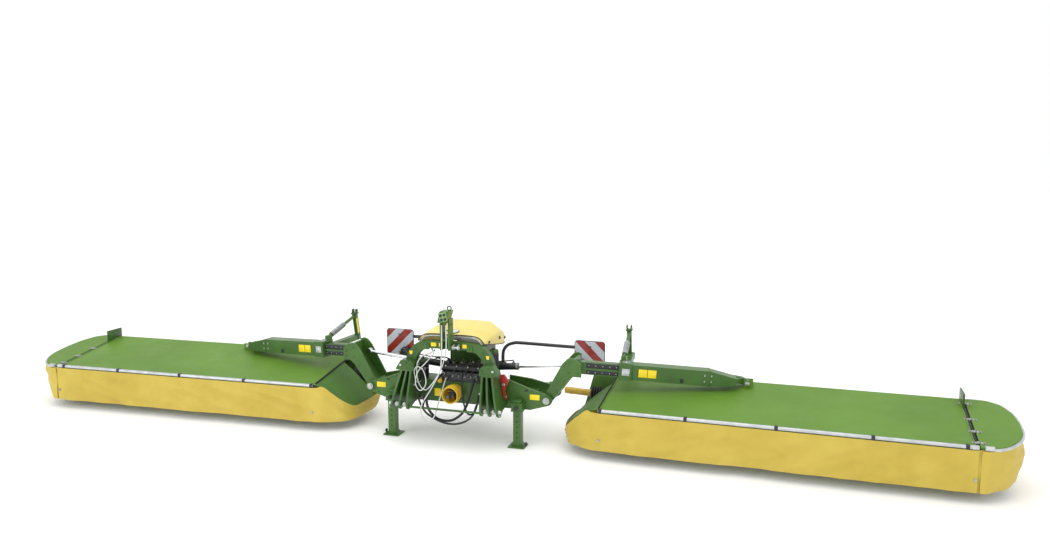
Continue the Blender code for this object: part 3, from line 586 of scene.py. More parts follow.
# --- what repeats, in Geometry Nodes ---------------------------------------------------------
class Repeater:
    """Geometry Nodes trees that set bolts on points and rings along a line."""

    @staticmethod
    def tree(name: str, sizes: dict[str, float], whole: dict[str, int]) -> bpy.types.GeometryNodeTree:
        """Start a tree with a geometry input and output and named inputs for its sizes.

        Args:
            name: the tree's name.
            sizes: real inputs and their defaults.
            whole: whole-number inputs and their defaults.

        Returns:
            The tree.
        """
        made = bpy.data.node_groups.new(name, "GeometryNodeTree")
        faces = made.interface
        faces.new_socket("Geometry", in_out="INPUT", socket_type="NodeSocketGeometry")
        for key, value in sizes.items():
            faces.new_socket(key, in_out="INPUT", socket_type="NodeSocketFloat").default_value = value
        for key, value in whole.items():
            faces.new_socket(key, in_out="INPUT", socket_type="NodeSocketInt").default_value = value
        faces.new_socket("Finish", in_out="INPUT", socket_type="NodeSocketMaterial")
        faces.new_socket("Geometry", in_out="OUTPUT", socket_type="NodeSocketGeometry")
        return made

    @classmethod
    def bolts(cls) -> bpy.types.GeometryNodeTree:
        """Build the tree that stands a washer and a hexagon head on every point, along its facing."""
        found = bpy.data.node_groups.get("bolt_heads")
        if found:
            return found
        made = cls.tree("bolt_heads", {"Head Radius": 0.012, "Head Height": 0.010}, {"Flats": 6})
        given = add(made, "NodeGroupInput").outputs
        head = add(made, "GeometryNodeMeshCylinder", {"Vertices": given["Flats"],
                                                      "Radius": given["Head Radius"],
                                                      "Depth": given["Head Height"]})
        wide = add(made, "ShaderNodeMath", {0: given["Head Radius"], 1: 1.45}, operation="MULTIPLY")
        thin = add(made, "ShaderNodeMath", {0: given["Head Height"], 1: 0.35}, operation="MULTIPLY")
        washer = add(made, "GeometryNodeMeshCylinder", {"Vertices": 14, "Radius": wide.outputs[0],
                                                        "Depth": thin.outputs[0]})
        lift = add(made, "ShaderNodeMath", {0: given["Head Height"], 1: 0.75}, operation="MULTIPLY")
        up = add(made, "ShaderNodeCombineXYZ", {"Z": lift.outputs[0]})
        raised = add(made, "GeometryNodeTransform", {"Geometry": head.outputs["Mesh"],
                                                     "Translation": up.outputs[0]})
        both = add(made, "GeometryNodeJoinGeometry")
        for part in (raised, washer):
            made.links.new(part.outputs[0], both.inputs[0])
        facing = add(made, "GeometryNodeInputNamedAttribute", {"Name": "facing"},
                     data_type="FLOAT_VECTOR")
        turned = add(made, "FunctionNodeAlignRotationToVector", {"Vector": facing.outputs[0]},
                     axis="Z")
        placed = add(made, "GeometryNodeInstanceOnPoints", {"Points": given["Geometry"],
                                                            "Instance": both.outputs[0],
                                                            "Rotation": turned.outputs[0]})
        return cls.close(made, placed, given)

    @classmethod
    def rings(cls) -> bpy.types.GeometryNodeTree:
        """Build the tree that threads rounded rings on a line of points, at each point's girth."""
        found = bpy.data.node_groups.get("ring_stack")
        if found:
            return found
        made = cls.tree("ring_stack", {"Bead Radius": 0.006}, {"Sides": 24})
        given = add(made, "NodeGroupInput").outputs
        path = add(made, "GeometryNodeCurvePrimitiveCircle", {"Resolution": given["Sides"],
                                                              "Radius": 1.0}, mode="RADIUS")
        facing = add(made, "GeometryNodeInputNamedAttribute", {"Name": "facing"},
                     data_type="FLOAT_VECTOR")
        girth = add(made, "GeometryNodeInputNamedAttribute", {"Name": "girth"}, data_type="FLOAT")
        turned = add(made, "FunctionNodeAlignRotationToVector", {"Vector": facing.outputs[0]},
                     axis="Z")
        placed = add(made, "GeometryNodeInstanceOnPoints", {"Points": given["Geometry"],
                                                            "Instance": path.outputs[0],
                                                            "Rotation": turned.outputs[0],
                                                            "Scale": girth.outputs[0]})
        loose = add(made, "GeometryNodeRealizeInstances", {0: placed.outputs[0]})
        bead = add(made, "GeometryNodeCurvePrimitiveCircle", {"Resolution": 8,
                                                              "Radius": given["Bead Radius"]},
                   mode="RADIUS")
        swept = add(made, "GeometryNodeCurveToMesh", {"Curve": loose.outputs[0],
                                                      "Profile Curve": bead.outputs[0]})
        return cls.close(made, swept, given)

    @staticmethod
    def close(made: bpy.types.GeometryNodeTree, last: bpy.types.Node,
              given: bpy.types.bpy_prop_collection) -> bpy.types.GeometryNodeTree:
        """End a tree in Realize Instances and Set Material, and return it."""
        real = add(made, "GeometryNodeRealizeInstances", {0: last.outputs[0]})
        painted = add(made, "GeometryNodeSetMaterial", {"Geometry": real.outputs[0],
                                                        "Material": given["Finish"]})
        add(made, "NodeGroupOutput", {0: painted.outputs[0]})
        return made

    @staticmethod
    def run(tree: bpy.types.GeometryNodeTree, name: str, points: Sequence[tuple], finish: Finish,
            body: str, side: Side, sizes: dict[str, float]) -> bpy.types.Object:
        """Run a tree over points and keep its result as a plain piece.

        Args:
            tree: one of this class's trees.
            name: the piece's name.
            points: (place, facing) or (place, facing, girth) for the side at +X.
            finish: the piece's finish.
            body: the body that it moves with.
            side: Side.LEFT mirrors the points.
            sizes: the tree's inputs by name.

        Returns:
            The piece.
        """
        flip = Vector((side.value, 1, 1))
        mesh = bpy.data.meshes.new(name)
        mesh.from_pydata([(Vector(p[0]) - Vector((0, MIDDLE_Y, 0))) * flip for p in points], [], [])
        facing = mesh.attributes.new("facing", "FLOAT_VECTOR", "POINT")
        facing.data.foreach_set("vector", [c for p in points
                                           for c in Vector(p[1]).normalized() * flip])
        girth = mesh.attributes.new("girth", "FLOAT", "POINT")
        girth.data.foreach_set("value", [p[2] if len(p) > 2 else 1.0 for p in points])
        holder = bpy.data.objects.new(name, mesh)
        bpy.context.scene.collection.objects.link(holder)
        stack = holder.modifiers.new("repeat", "NODES")
        stack.node_group = tree
        sockets = {item.name: item.identifier for item in tree.interface.items_tree
                   if item.in_out == "INPUT"}
        for key, value in {**sizes, "Finish": finish.material()}.items():
            stack[sockets[key]] = value
        bpy.context.view_layer.update()
        graph = bpy.context.evaluated_depsgraph_get()
        plain = bpy.data.meshes.new_from_object(holder.evaluated_get(graph))
        bpy.data.objects.remove(holder, do_unlink=True)
        plain.name = name
        plain.shade_smooth()
        plain.set_sharp_from_angle(angle=SOFT_ANGLE)
        return dress(bpy.data.objects.new(name, plain), finish, body)


def bolts(name: str, points: Sequence[tuple], body: str, side: Side = Side.RIGHT,
          radius: float = 0.012, finish: Finish = Finishes.STEEL, flats: int = 6) -> bpy.types.Object:
    """Set hexagon heads with washers on (place, facing) points, and return the piece."""
    return Repeater.run(Repeater.bolts(), name, points, finish, body, side,
                        {"Head Radius": radius, "Head Height": radius * 0.8, "Flats": flats})


def rings(name: str, points: Sequence[tuple], bead: float, finish: Finish, body: str,
          side: Side = Side.RIGHT) -> bpy.types.Object:
    """Thread beads on (place, facing, radius) points, and return the piece."""
    return Repeater.run(Repeater.rings(), name, points, finish, body, side, {"Bead Radius": bead})


# --- the frames that the side units are drawn in ----------------------------------------------
def boom_matrix() -> Matrix:
    """Boom axes: x along the tube, y across it and level, z up."""
    skew, drop = math.radians(12.0), math.radians(3.5)
    along = Vector((math.cos(skew) * math.cos(drop), math.sin(skew) * math.cos(drop),
                    -math.sin(drop)))
    across = Vector((-math.sin(skew), math.cos(skew), 0))
    turn = Matrix((along, across, along.cross(across))).transposed().to_4x4()
    return Matrix.Translation((1.24, 0.203, 0.795)) @ turn


BOOM = boom_matrix()
UNIT_YAW = -1.617               # degrees that a mowing unit stands off square
MOWER = Matrix.Translation((1.529, -0.217, 0.0)) @ Matrix.Rotation(math.radians(UNIT_YAW), 4, "Z")
COVER_LEN, COVER_Z, COVER_SLOPE = 3.260, 0.490, 0.140
HEM_Z = 0.100
INNER_END = [(0.000, -0.026), (-0.100, -0.012), (-0.200, 0.025), (-0.300, 0.085), (-0.370, 0.200),
             (-0.398, 0.340), (-0.405, 0.500), (-0.403, 0.640), (-0.385, 0.760), (-0.330, 0.850),
             (-0.200, 0.905), (-0.010, 0.925)]
END_OUTLINE = [(3.400, 0.010), (3.500, 0.075), (3.590, 0.195), (3.645, 0.350), (3.655, 0.560),
               (3.630, 0.770), (3.560, 0.935), (3.450, 1.010)]
WING_PIN = (0.963, 0.479)       # x and z of the pin that the boom swings on
HANG_PIN = (2.862, 0.650)       # x and z of the pin that the mowing unit hangs on
SHAFT_Y, SHAFT_Z = 0.55, 0.46   # middle of the drive that crosses the machine
FILM_FRONT, FILM_BACK = -0.1958, -0.1945    # y of the films on the headstock, sunk 0.5 mm into it


def cover_z(y: float) -> float:
    """Height of the cover's top face, y metres back from the front bar."""
    return COVER_Z + COVER_SLOPE * y


def skirt_top(y: float) -> float:
    """Upper edge of the curtain round the inner end."""
    return 0.245 + 0.215 * max(0.0, 1 - y / 0.20) ** 2 if y < 0.20 else 0.245


def ease(share: float) -> float:
    """Smooth a share of the way from 0 to 1."""
    share = min(1.0, max(0.0, share))
    return share * share * (3 - 2 * share)


# --- stage ------------------------------------------------------------------------------------
@dataclass
class Studio:
    """Pale floor, soft lights and the camera."""

    eye: Point = (3.208, -8.461, 2.926)
    yaw: float = 17.04
    pitch: float = 8.08
    lens: float = 29.78
    floor_half: float = 60.0
    floor_glow: float = 0.06
    sky: float = 1.0
    lights: tuple = (("overhead", (0.5, -1.0, 7.5), (0, 0, 0), 250.0, 9.0),
                     ("front_left", (-7.0, -9.0, 5.5), (0, -0.3, 0.5), 260.0, 5.0),
                     ("front_right", (9.0, -7.0, 4.5), (1.5, 0, 0.4), 80.0, 5.0))

    def build(self) -> None:
        """Lay the floor, hang the lights and set the camera."""
        floor = bpy.data.objects.new("floor", bpy.data.meshes.new("floor"))
        half = self.floor_half
        floor.data.from_pydata([(-half, -half, 0), (half, -half, 0), (half, half, 0),
                                (-half, half, 0)], [], [(0, 1, 2, 3)])
        floor.data.materials.append(self.floor_material())
        bpy.context.scene.collection.objects.link(floor)
        for name, place, target, power, size in self.lights:
            lamp = bpy.data.lights.new(name, "AREA")
            lamp.energy, lamp.size = power, size
            holder = bpy.data.objects.new(name, lamp)
            holder.location = place
            holder.rotation_euler = (Vector(target) - Vector(place)).to_track_quat("-Z", "Y").to_euler()
            bpy.context.scene.collection.objects.link(holder)
        world = bpy.data.worlds.new("soft_sky")
        world.use_nodes = True
        sky = world.node_tree.nodes["Background"]
        sky.inputs["Color"].default_value = linear("#ffffff")
        sky.inputs["Strength"].default_value = self.sky
        bpy.context.scene.world = world
        camera = bpy.data.cameras.new("camera")
        camera.lens, camera.sensor_width = self.lens, 36.0
        camera.clip_start, camera.clip_end = 0.1, 200.0
        eye = bpy.data.objects.new("camera", camera)
        eye.location = self.eye
        eye.rotation_euler = (math.radians(90 - self.pitch), 0.0, math.radians(self.yaw))
        bpy.context.scene.collection.objects.link(eye)
        bpy.context.scene.camera = eye
        bpy.context.scene.view_settings.view_transform = "Standard"

    def floor_material(self) -> bpy.types.Material:
        """Pale painted floor, with a hint of unevenness in its sheen."""
        made = bpy.data.materials.new("pale_painted_floor")
        made.use_nodes = True
        surface = made.node_tree.nodes["Principled BSDF"]
        where = add(made.node_tree, "ShaderNodeTexCoord").outputs["Object"]
        cloud = add(made.node_tree, "ShaderNodeTexNoise", {"Vector": where, "Scale": 0.6})
        sheen = add(made.node_tree, "ShaderNodeMapRange", {"Value": cloud.outputs["Fac"],
                                                           "To Min": 0.55, "To Max": 0.70})
        made.node_tree.links.new(sheen.outputs[0], surface.inputs["Roughness"])
        surface.inputs["Base Color"].default_value = linear("#fbfbfa")
        surface.inputs["Emission Color"].default_value = linear("#ffffff")
        surface.inputs["Emission Strength"].default_value = self.floor_glow
        surface.inputs["Specular IOR Level"].default_value = 0.25
        return made


# --- hoses and cables -------------------------------------------------------------------------
@dataclass
class Cord:
    """A hose or cable on its own route, with crimped fittings at its ends."""

    name: str
    route: Sequence[Point]
    radius: float
    finish: Finish
    stiffness: str
    points: int = 60

    def build(self) -> None:
        line = smooth_route(self.route, self.points)
        for end, beside, lead in ((0, 1, 1), (-1, -2, -2)):
            out = (Vector(self.route[lead]) - Vector(self.route[end])).normalized()
            line[beside] = line[end] + out * (line[beside] - line[end]).length
        line = [point - Vector((0, MIDDLE_Y, 0)) for point in line]
        curve = bpy.data.curves.new(self.name, "CURVE")
        curve.dimensions = "3D"
        curve.bevel_depth, curve.bevel_resolution, curve.use_fill_caps = self.radius, 3, True
        spline = curve.splines.new("POLY")
        spline.points.add(len(line) - 1)
        for slot, point in zip(spline.points, line):
            slot.co = (*point, 1.0)
        stands_for = [self.name] if self.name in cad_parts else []
        piece = dress(bpy.data.objects.new(f"{self.name}_run", curve), self.finish, "frame",
                      replaces=stands_for)
        fittings = Shape()
        for end, beside in ((0, 1), (-1, -2)):
            start = line[end] + Vector((0, MIDDLE_Y, 0))
            out = (line[beside] - line[end]).normalized()
            size = self.radius
            fittings.turned(start, start + out, [(0, size * 1.25), (size, size * 1.5),
                                                 (size * 1.8, size * 1.5), (size * 2.0, size * 1.2),
                                                 (size * 3.6, size * 1.2), (size * 3.9, size * 1.05)],
                            14)
        ends = fittings.make(f"{self.name}_fittings",
                             Finishes.STEEL if self.radius > 0.008 else Finishes.NYLON, "frame")


HOSE_MAIN = [(0.230, -0.0304, 0.660), (0.230, -0.080, 0.660), (0.218, -0.150, 0.560),
             (0.190, -0.190, 0.430), (0.135, -0.220, 0.325), (0.030, -0.240, 0.258),
             (-0.100, -0.250, 0.266), (-0.195, -0.250, 0.345), (-0.225, -0.240, 0.460),
             (-0.180, -0.190, 0.600), (-0.125, -0.080, 0.682), (-0.125, -0.0304, 0.682)]
HOSE_SIDE = [(0.3747, -0.245, 0.560), (0.335, -0.245, 0.560), (0.315, -0.262, 0.430),
             (0.255, -0.278, 0.315), (0.125, -0.290, 0.248), (-0.040, -0.290, 0.250),
             (-0.220, -0.278, 0.330), (-0.305, -0.262, 0.460), (-0.334, -0.245, 0.600),
             (-0.3737, -0.245, 0.600)]
CABLE_LONG = [(-0.020, -0.325, 1.2698), (-0.020, -0.325, 1.220), (-0.020, -0.332, 0.980),
              (-0.040, -0.340, 0.780), (-0.130, -0.352, 0.600), (-0.225, -0.363, 0.440),
              (-0.235, -0.363, 0.340), (-0.170, -0.350, 0.255), (-0.105, -0.335, 0.320),
              (-0.080, -0.260, 0.470), (-0.078, -0.090, 0.645), (-0.078, -0.0304, 0.645)]
CABLE_LOOP = [(0.015, -0.300, 1.2683), (0.015, -0.300, 1.220), (0.015, -0.308, 0.980),
              (-0.040, -0.305, 0.800), (-0.140, -0.290, 0.640), (-0.235, -0.270, 0.560),
              (-0.310, -0.255, 0.640), (-0.325, -0.245, 0.800), (-0.280, -0.225, 0.890),
              (-0.195, -0.158, 0.925), (-0.195, -0.158, 0.9746)]
HOSE_DROP = [(0.110, -0.055, 0.700), (0.110, -0.100, 0.700), (0.125, -0.170, 0.640),
             (0.150, -0.215, 0.520), (0.172, -0.225, 0.420), (0.200, -0.200, 0.330),
             (0.236, -0.150, 0.320), (0.250, -0.100, 0.385), (0.250, -0.0560, 0.400),
             (0.250, -0.0405, 0.400)]
HOSE_LEFT = [(-0.320, -0.060, 0.720), (-0.320, -0.110, 0.720), (-0.300, -0.190, 0.660),
             (-0.262, -0.222, 0.540), (-0.272, -0.215, 0.420), (-0.300, -0.170, 0.350),
             (-0.318, -0.110, 0.370), (-0.320, -0.0405, 0.420)]
CABLE_COIL = [(-0.150, -0.202, 0.965), (-0.150, -0.235, 0.930), (-0.210, -0.262, 0.850),
              (-0.300, -0.292, 0.740), (-0.318, -0.300, 0.620), (-0.262, -0.305, 0.560),
              (-0.205, -0.302, 0.640), (-0.232, -0.296, 0.760), (-0.300, -0.288, 0.800),
              (-0.348, -0.262, 0.740), (-0.352, -0.220, 0.640), (-0.352, -0.160, 0.600),
              (-0.352, -0.0620, 0.600)]
CORDS = (Cord("hose_main", HOSE_MAIN, 0.013, Finishes.RUBBER, "stiff"),
         Cord("hose_side", HOSE_SIDE, 0.010, Finishes.RUBBER, "medium"),
         Cord("cable_long", CABLE_LONG, 0.006, Finishes.CABLE, "medium"),
         Cord("cable_loop", CABLE_LOOP, 0.006, Finishes.CABLE, "medium"),
         Cord("hose_drop", HOSE_DROP, 0.009, Finishes.RUBBER, "medium"),
         Cord("hose_left", HOSE_LEFT, 0.009, Finishes.RUBBER, "medium"),
         Cord("cable_coil", CABLE_COIL, 0.0055, Finishes.CABLE, "medium"))


# --- curtains and guards ----------------------------------------------------------------------
@dataclass
class Curtain:
    """Coated cloth hung round a mowing unit, soft between its fixings and weighted by its hem."""

    side: Side
    thickness: float = 0.0035
    step: float = 0.022
    rows: int = 18
    hem: float = 0.030

    def spread(self, name: str, route: Sequence[Pair], tops: Sequence[float], body: str,
               replaces: str, seed: float, calm: Sequence[float],
               tuck: float) -> bpy.types.Object:
        """Hang one sheet along a route.

        Args:
            name: the piece's name.
            route: (x, y) points in the mowing unit's axes.
            tops: the sheet's upper edge at each of them.
            body: the body that it moves with.
            replaces: the CAD node that it stands for.
            seed: picks the folds.
            calm: x of the fixings, where the cloth is held.
            tuck: how far the hem is drawn in round the ends.

        Returns:
            The sheet.
        """
        knots = [Vector((x, y, top)) for (x, y), top in zip(route, tops)]
        run = sum((b - a).length for a, b in zip(knots, knots[1:]))
        line = smooth_route(knots, int(run / self.step))
        grid = []
        for level in range(self.rows + 1):
            share = level / self.rows
            row = []
            for at, point in enumerate(line):
                ahead = line[min(at + 1, len(line) - 1)] - line[max(at - 1, 0)]
                out = Vector((ahead.y, -ahead.x, 0)).normalized()
                if out.dot(point - Vector((1.6, 0.45, 0))) < 0:
                    out = -out
                round_end = ease(max(-point.x, point.x - COVER_LEN - 0.03) / 0.20)
                reach = self.swell(at * self.step, point.x, share, seed, calm)
                place = point.xy.to_3d() + out * (reach - tuck * round_end * share ** 2)
                place.z = point.z + (HEM_Z - point.z) * share
                row.append(place)
            grid.append(row)
        if (grid[0][-1] - grid[0][0]).x > 0:
            grid = [row[::-1] for row in grid]
        cloth = Shape().shell(grid, self.thickness, MOWER)
        sheet = cloth.make(name, Finishes.CURTAIN, body, self.side, [replaces])
        return sheet

    def swell(self, along: float, x: float, share: float, seed: float,
              calm: Sequence[float]) -> float:
        """How far the cloth stands out from its rail.

        Args:
            along: metres along the sheet.
            x: place along the mowing unit.
            share: 0 at the rail and 1 at the hem.
            seed: picks the folds.
            calm: x of the fixings.

        Returns:
            The distance outwards.
        """
        loose = ease(share / 0.35) * (1 - 0.35 * share)
        held = min((1 - math.exp(-((x - at) / 0.10) ** 2) for at in calm), default=1.0)
        broad = noise.noise(Vector((along * 1.5 + share * 0.9, share * 1.3, seed)))
        fold = 0.5 - abs(noise.noise(Vector((along * 2.6 - share * 2.0, share * 1.6, seed + 5.0))))
        pucker = 0.5 - abs(noise.noise(Vector((along * 6.0 + share * 3.2, share * 2.6, seed + 9.0))))
        waist = -0.010 * math.sin(math.pi * min(1.0, share * 1.3))
        slack = noise.noise(Vector((along * 3.6 - share * 3.4, share * 0.8, seed + 2.0)))
        return (0.030 * broad + 0.046 * fold + 0.016 * slack + 0.012 * pucker) * loose * held + waist

    def build(self) -> None:
        """Hang the front sheet with its inner end, and the outer end's sheet."""
        side = self.side.label
        route = ([(COVER_LEN - 0.002, -0.030), (2.40, -0.030), (1.60, -0.030), (0.80, -0.030),
                  (0.02, -0.030)] + [(x - 0.004, y - 0.006) for x, y in INNER_END[1:]])
        tops = [0.468] * 5 + [skirt_top(y) for _, y in INNER_END[1:]]
        self.spread(f"front_curtain_{side}", route, tops, f"mower_{side}", f"skirt_{side}",
                    3.0 * self.side.value, (0.03, COVER_LEN - 0.05), 0.018)
        ends = [(COVER_LEN + 0.020, -0.030), (3.36, -0.022)] + [(x + 0.006, y - 0.008)
                                                               for x, y in END_OUTLINE[1:-1]]
        self.spread(f"outer_curtain_{side}", ends, [cover_z(y) - 0.020 for _, y in ends],
                    f"end_{side}", f"end_curtain_{side}", 11.0 * self.side.value, (3.28,), 0.062)
        self.overlap()
        buttons = [(0.010, -0.036, 0.203), (COVER_LEN - 0.02, -0.034, 0.212)]
        bolts(f"curtain_buttons_{side}", [(MOWER @ Vector(spot), (0, -1, 0)) for spot in buttons],
              f"mower_{side}", self.side, 0.009)

    def overlap(self) -> None:
        """Hang the strip of cloth behind the seam at the folding end."""
        strip = [[(x, -0.0165, z) for x in (3.180, 3.225, 3.270, 3.315)]
                 for z in (0.470, 0.300, HEM_Z)]
        Shape().shell([row[::-1] for row in strip], self.thickness, MOWER).make(
            f"seam_cloth_{self.side.label}", Finishes.CURTAIN, f"mower_{self.side.label}", self.side)


@dataclass
class InnerGuard:
    """Slanted flexible panel between the cover's inner edge and the curtain."""

    side: Side
    columns: int = 40
    rows: int = 12
    thickness: float = 0.005

    def build(self) -> None:
        """Make the panel and the black bead that finishes its upper edge."""
        side = self.side.label
        hem = smooth_route([(x, y, 0) for x, y in INNER_END if y <= 0.66], self.columns)
        grid = []
        for level in range(self.rows + 1):
            depth = level / self.rows
            row = []
            for point in hem:
                top_y = max(0.012 + point.y * 1.05, 0.005)
                top = Vector((-0.004, top_y, cover_z(top_y) - 0.004))
                low = Vector((point.x * 0.985 + 0.002, point.y + 0.006, skirt_top(point.y) - 0.012))
                place = top.lerp(low, depth)
                ripple = noise.noise(Vector((point.y * 7.0, depth * 1.6, 4.0))) * 0.022
                place.z += (0.018 + ripple) * math.sin(math.pi * depth)
                row.append(place)
            grid.append(row)
        Shape().shell(grid, self.thickness, MOWER).make(
            f"inner_panel_{side}", Finishes.FLAP, f"mower_{side}", self.side,
            [f"inner_guard_{side}"])
        self.rear_flap()
        edge = [Vector((-0.006, y, cover_z(y) + 0.001)) for y in (0.0, 0.25, 0.50, 0.75, 0.98)]
        bead = Shape().tube(edge, 0.009, matrix=MOWER)
        bead.make(f"inner_bead_{side}", Finishes.RUBBER, f"mower_{side}", self.side)

    def rear_flap(self) -> None:
        """Flap that closes the inner end behind the drive shaft's bellows."""
        grid = []
        for level in range(self.rows + 1):
            depth = level / self.rows
            row = []
            for column in range(self.columns // 2 + 1):
                share = column / (self.columns // 2)
                top = Vector((-0.255 * share - 0.008, 0.958, 0.600 + 0.055 * share))
                low = Vector((-0.355 * share - 0.008, 0.925 - 0.060 * share ** 3, 0.235))
                place = top.lerp(low, depth)
                place.y += 0.006 * noise.noise(Vector((share * 3.0, depth * 2.0, 7.0)))
                row.append(place)
            grid.append(row)
        Shape().shell(grid, self.thickness, MOWER).make(
            f"rear_flap_{self.side.label}", Finishes.FLAP, f"mower_{self.side.label}", self.side)
        plate = Shape().plate([(0.300, 0.180), (0.985, 0.180), (0.985, 0.600), (0.300, 0.505)], "x",
                              0.268, 0.275, 0.002, MOWER)
        plate.block((-0.010, 0.620), (0.978, 0.984), (0.235, 0.610), 0.002, MOWER)
        plate.make(f"inner_plate_{self.side.label}", Finishes.FRAME, f"mower_{self.side.label}",
                   self.side)


# --- moulded hood ------------------------------------------------------------------------------
@dataclass
class Hood:
    """Moulded cover over the centre drive, with eased edges between its faces."""

    sections: tuple = ((-0.140, 0.260, 1.110, 0.350, 1.050, 1.035),
                       (0.120, 0.250, 1.150, 0.362, 1.075, 0.985),
                       (0.400, 0.220, 1.160, 0.350, 1.065, 0.930),
                       (0.620, 0.180, 1.090, 0.315, 1.000, 0.900),
                       (0.740, 0.130, 0.975, 0.255, 0.935, 0.885))
    round_edge: float = 0.022
    search: int = 96            # steps tried along the hood for each cross-section

    def build(self) -> None:
        """Loft the skin through its sections."""
        shapes = [Vector(s[:3]) for s in self.sections], [Vector(s[3:]) for s in self.sections]
        tops = smooth_route(shapes[0], 24)
        tries = [at / self.search for at in range(self.search + 1)]
        steps = [min(tries, key=lambda share: abs(self.at(share)[0] - top.x)) for top in tops]
        grid = []
        for step in steps:
            y, top, top_z, low, low_z, edge_z = self.at(step)
            half = [(0.0, top_z + 0.006), (top * 0.5, top_z + 0.004), (top, top_z), (low, low_z),
                    (low, edge_z)]
            grid.append([(x, y, z) for x, z in self.eased(half)])
        skin = Shape().shell(grid, 0.008)
        skin.make("hood_shell", Finishes.HOOD, "frame", replaces=["hood"])

    def at(self, share: float) -> tuple[float, ...]:
        """The section's six measures at a share of the way along the hood."""
        place = share * (len(self.sections) - 1)
        index = min(int(place), len(self.sections) - 2)
        near = self.sections[max(index - 1, 0)]
        far = self.sections[min(index + 2, len(self.sections) - 1)]
        here, there = self.sections[index], self.sections[index + 1]
        t = place - index
        return tuple(0.5 * (2 * b + (c - a) * t + (2 * a - 5 * b + 4 * c - d) * t ** 2
                            + (3 * b - a - 3 * c + d) * t ** 3)
                     for a, b, c, d in zip(near, here, there, far))

    def eased(self, half: Sequence[Pair]) -> list[Pair]:
        """Round the corners of half a section and mirror it, from -x to +x."""
        points = [Vector(half[0])]
        for before, here, after in zip(half, half[1:], half[2:]):
            here = Vector(here)
            into, out = Vector(before) - here, Vector(after) - here
            reach = min(self.round_edge, into.length / 2.5, out.length / 2.5)
            start, end = here + into.normalized() * reach, here + out.normalized() * reach
            for t in (0.0, 0.25, 0.5, 0.75, 1.0):
                points.append(start.lerp(here, t).lerp(here.lerp(end, t), t))
        points.append(Vector(half[-1]))
        right = [(p.x, p.y) for p in points]
        return [(-x, z) for x, z in right[:0:-1]] + right


# --- mowing unit trim --------------------------------------------------------------------------
DECK = MOWER @ Matrix.Translation((0, 0, COVER_Z)) @ Matrix.Rotation(math.atan(COVER_SLOPE), 4, "X")


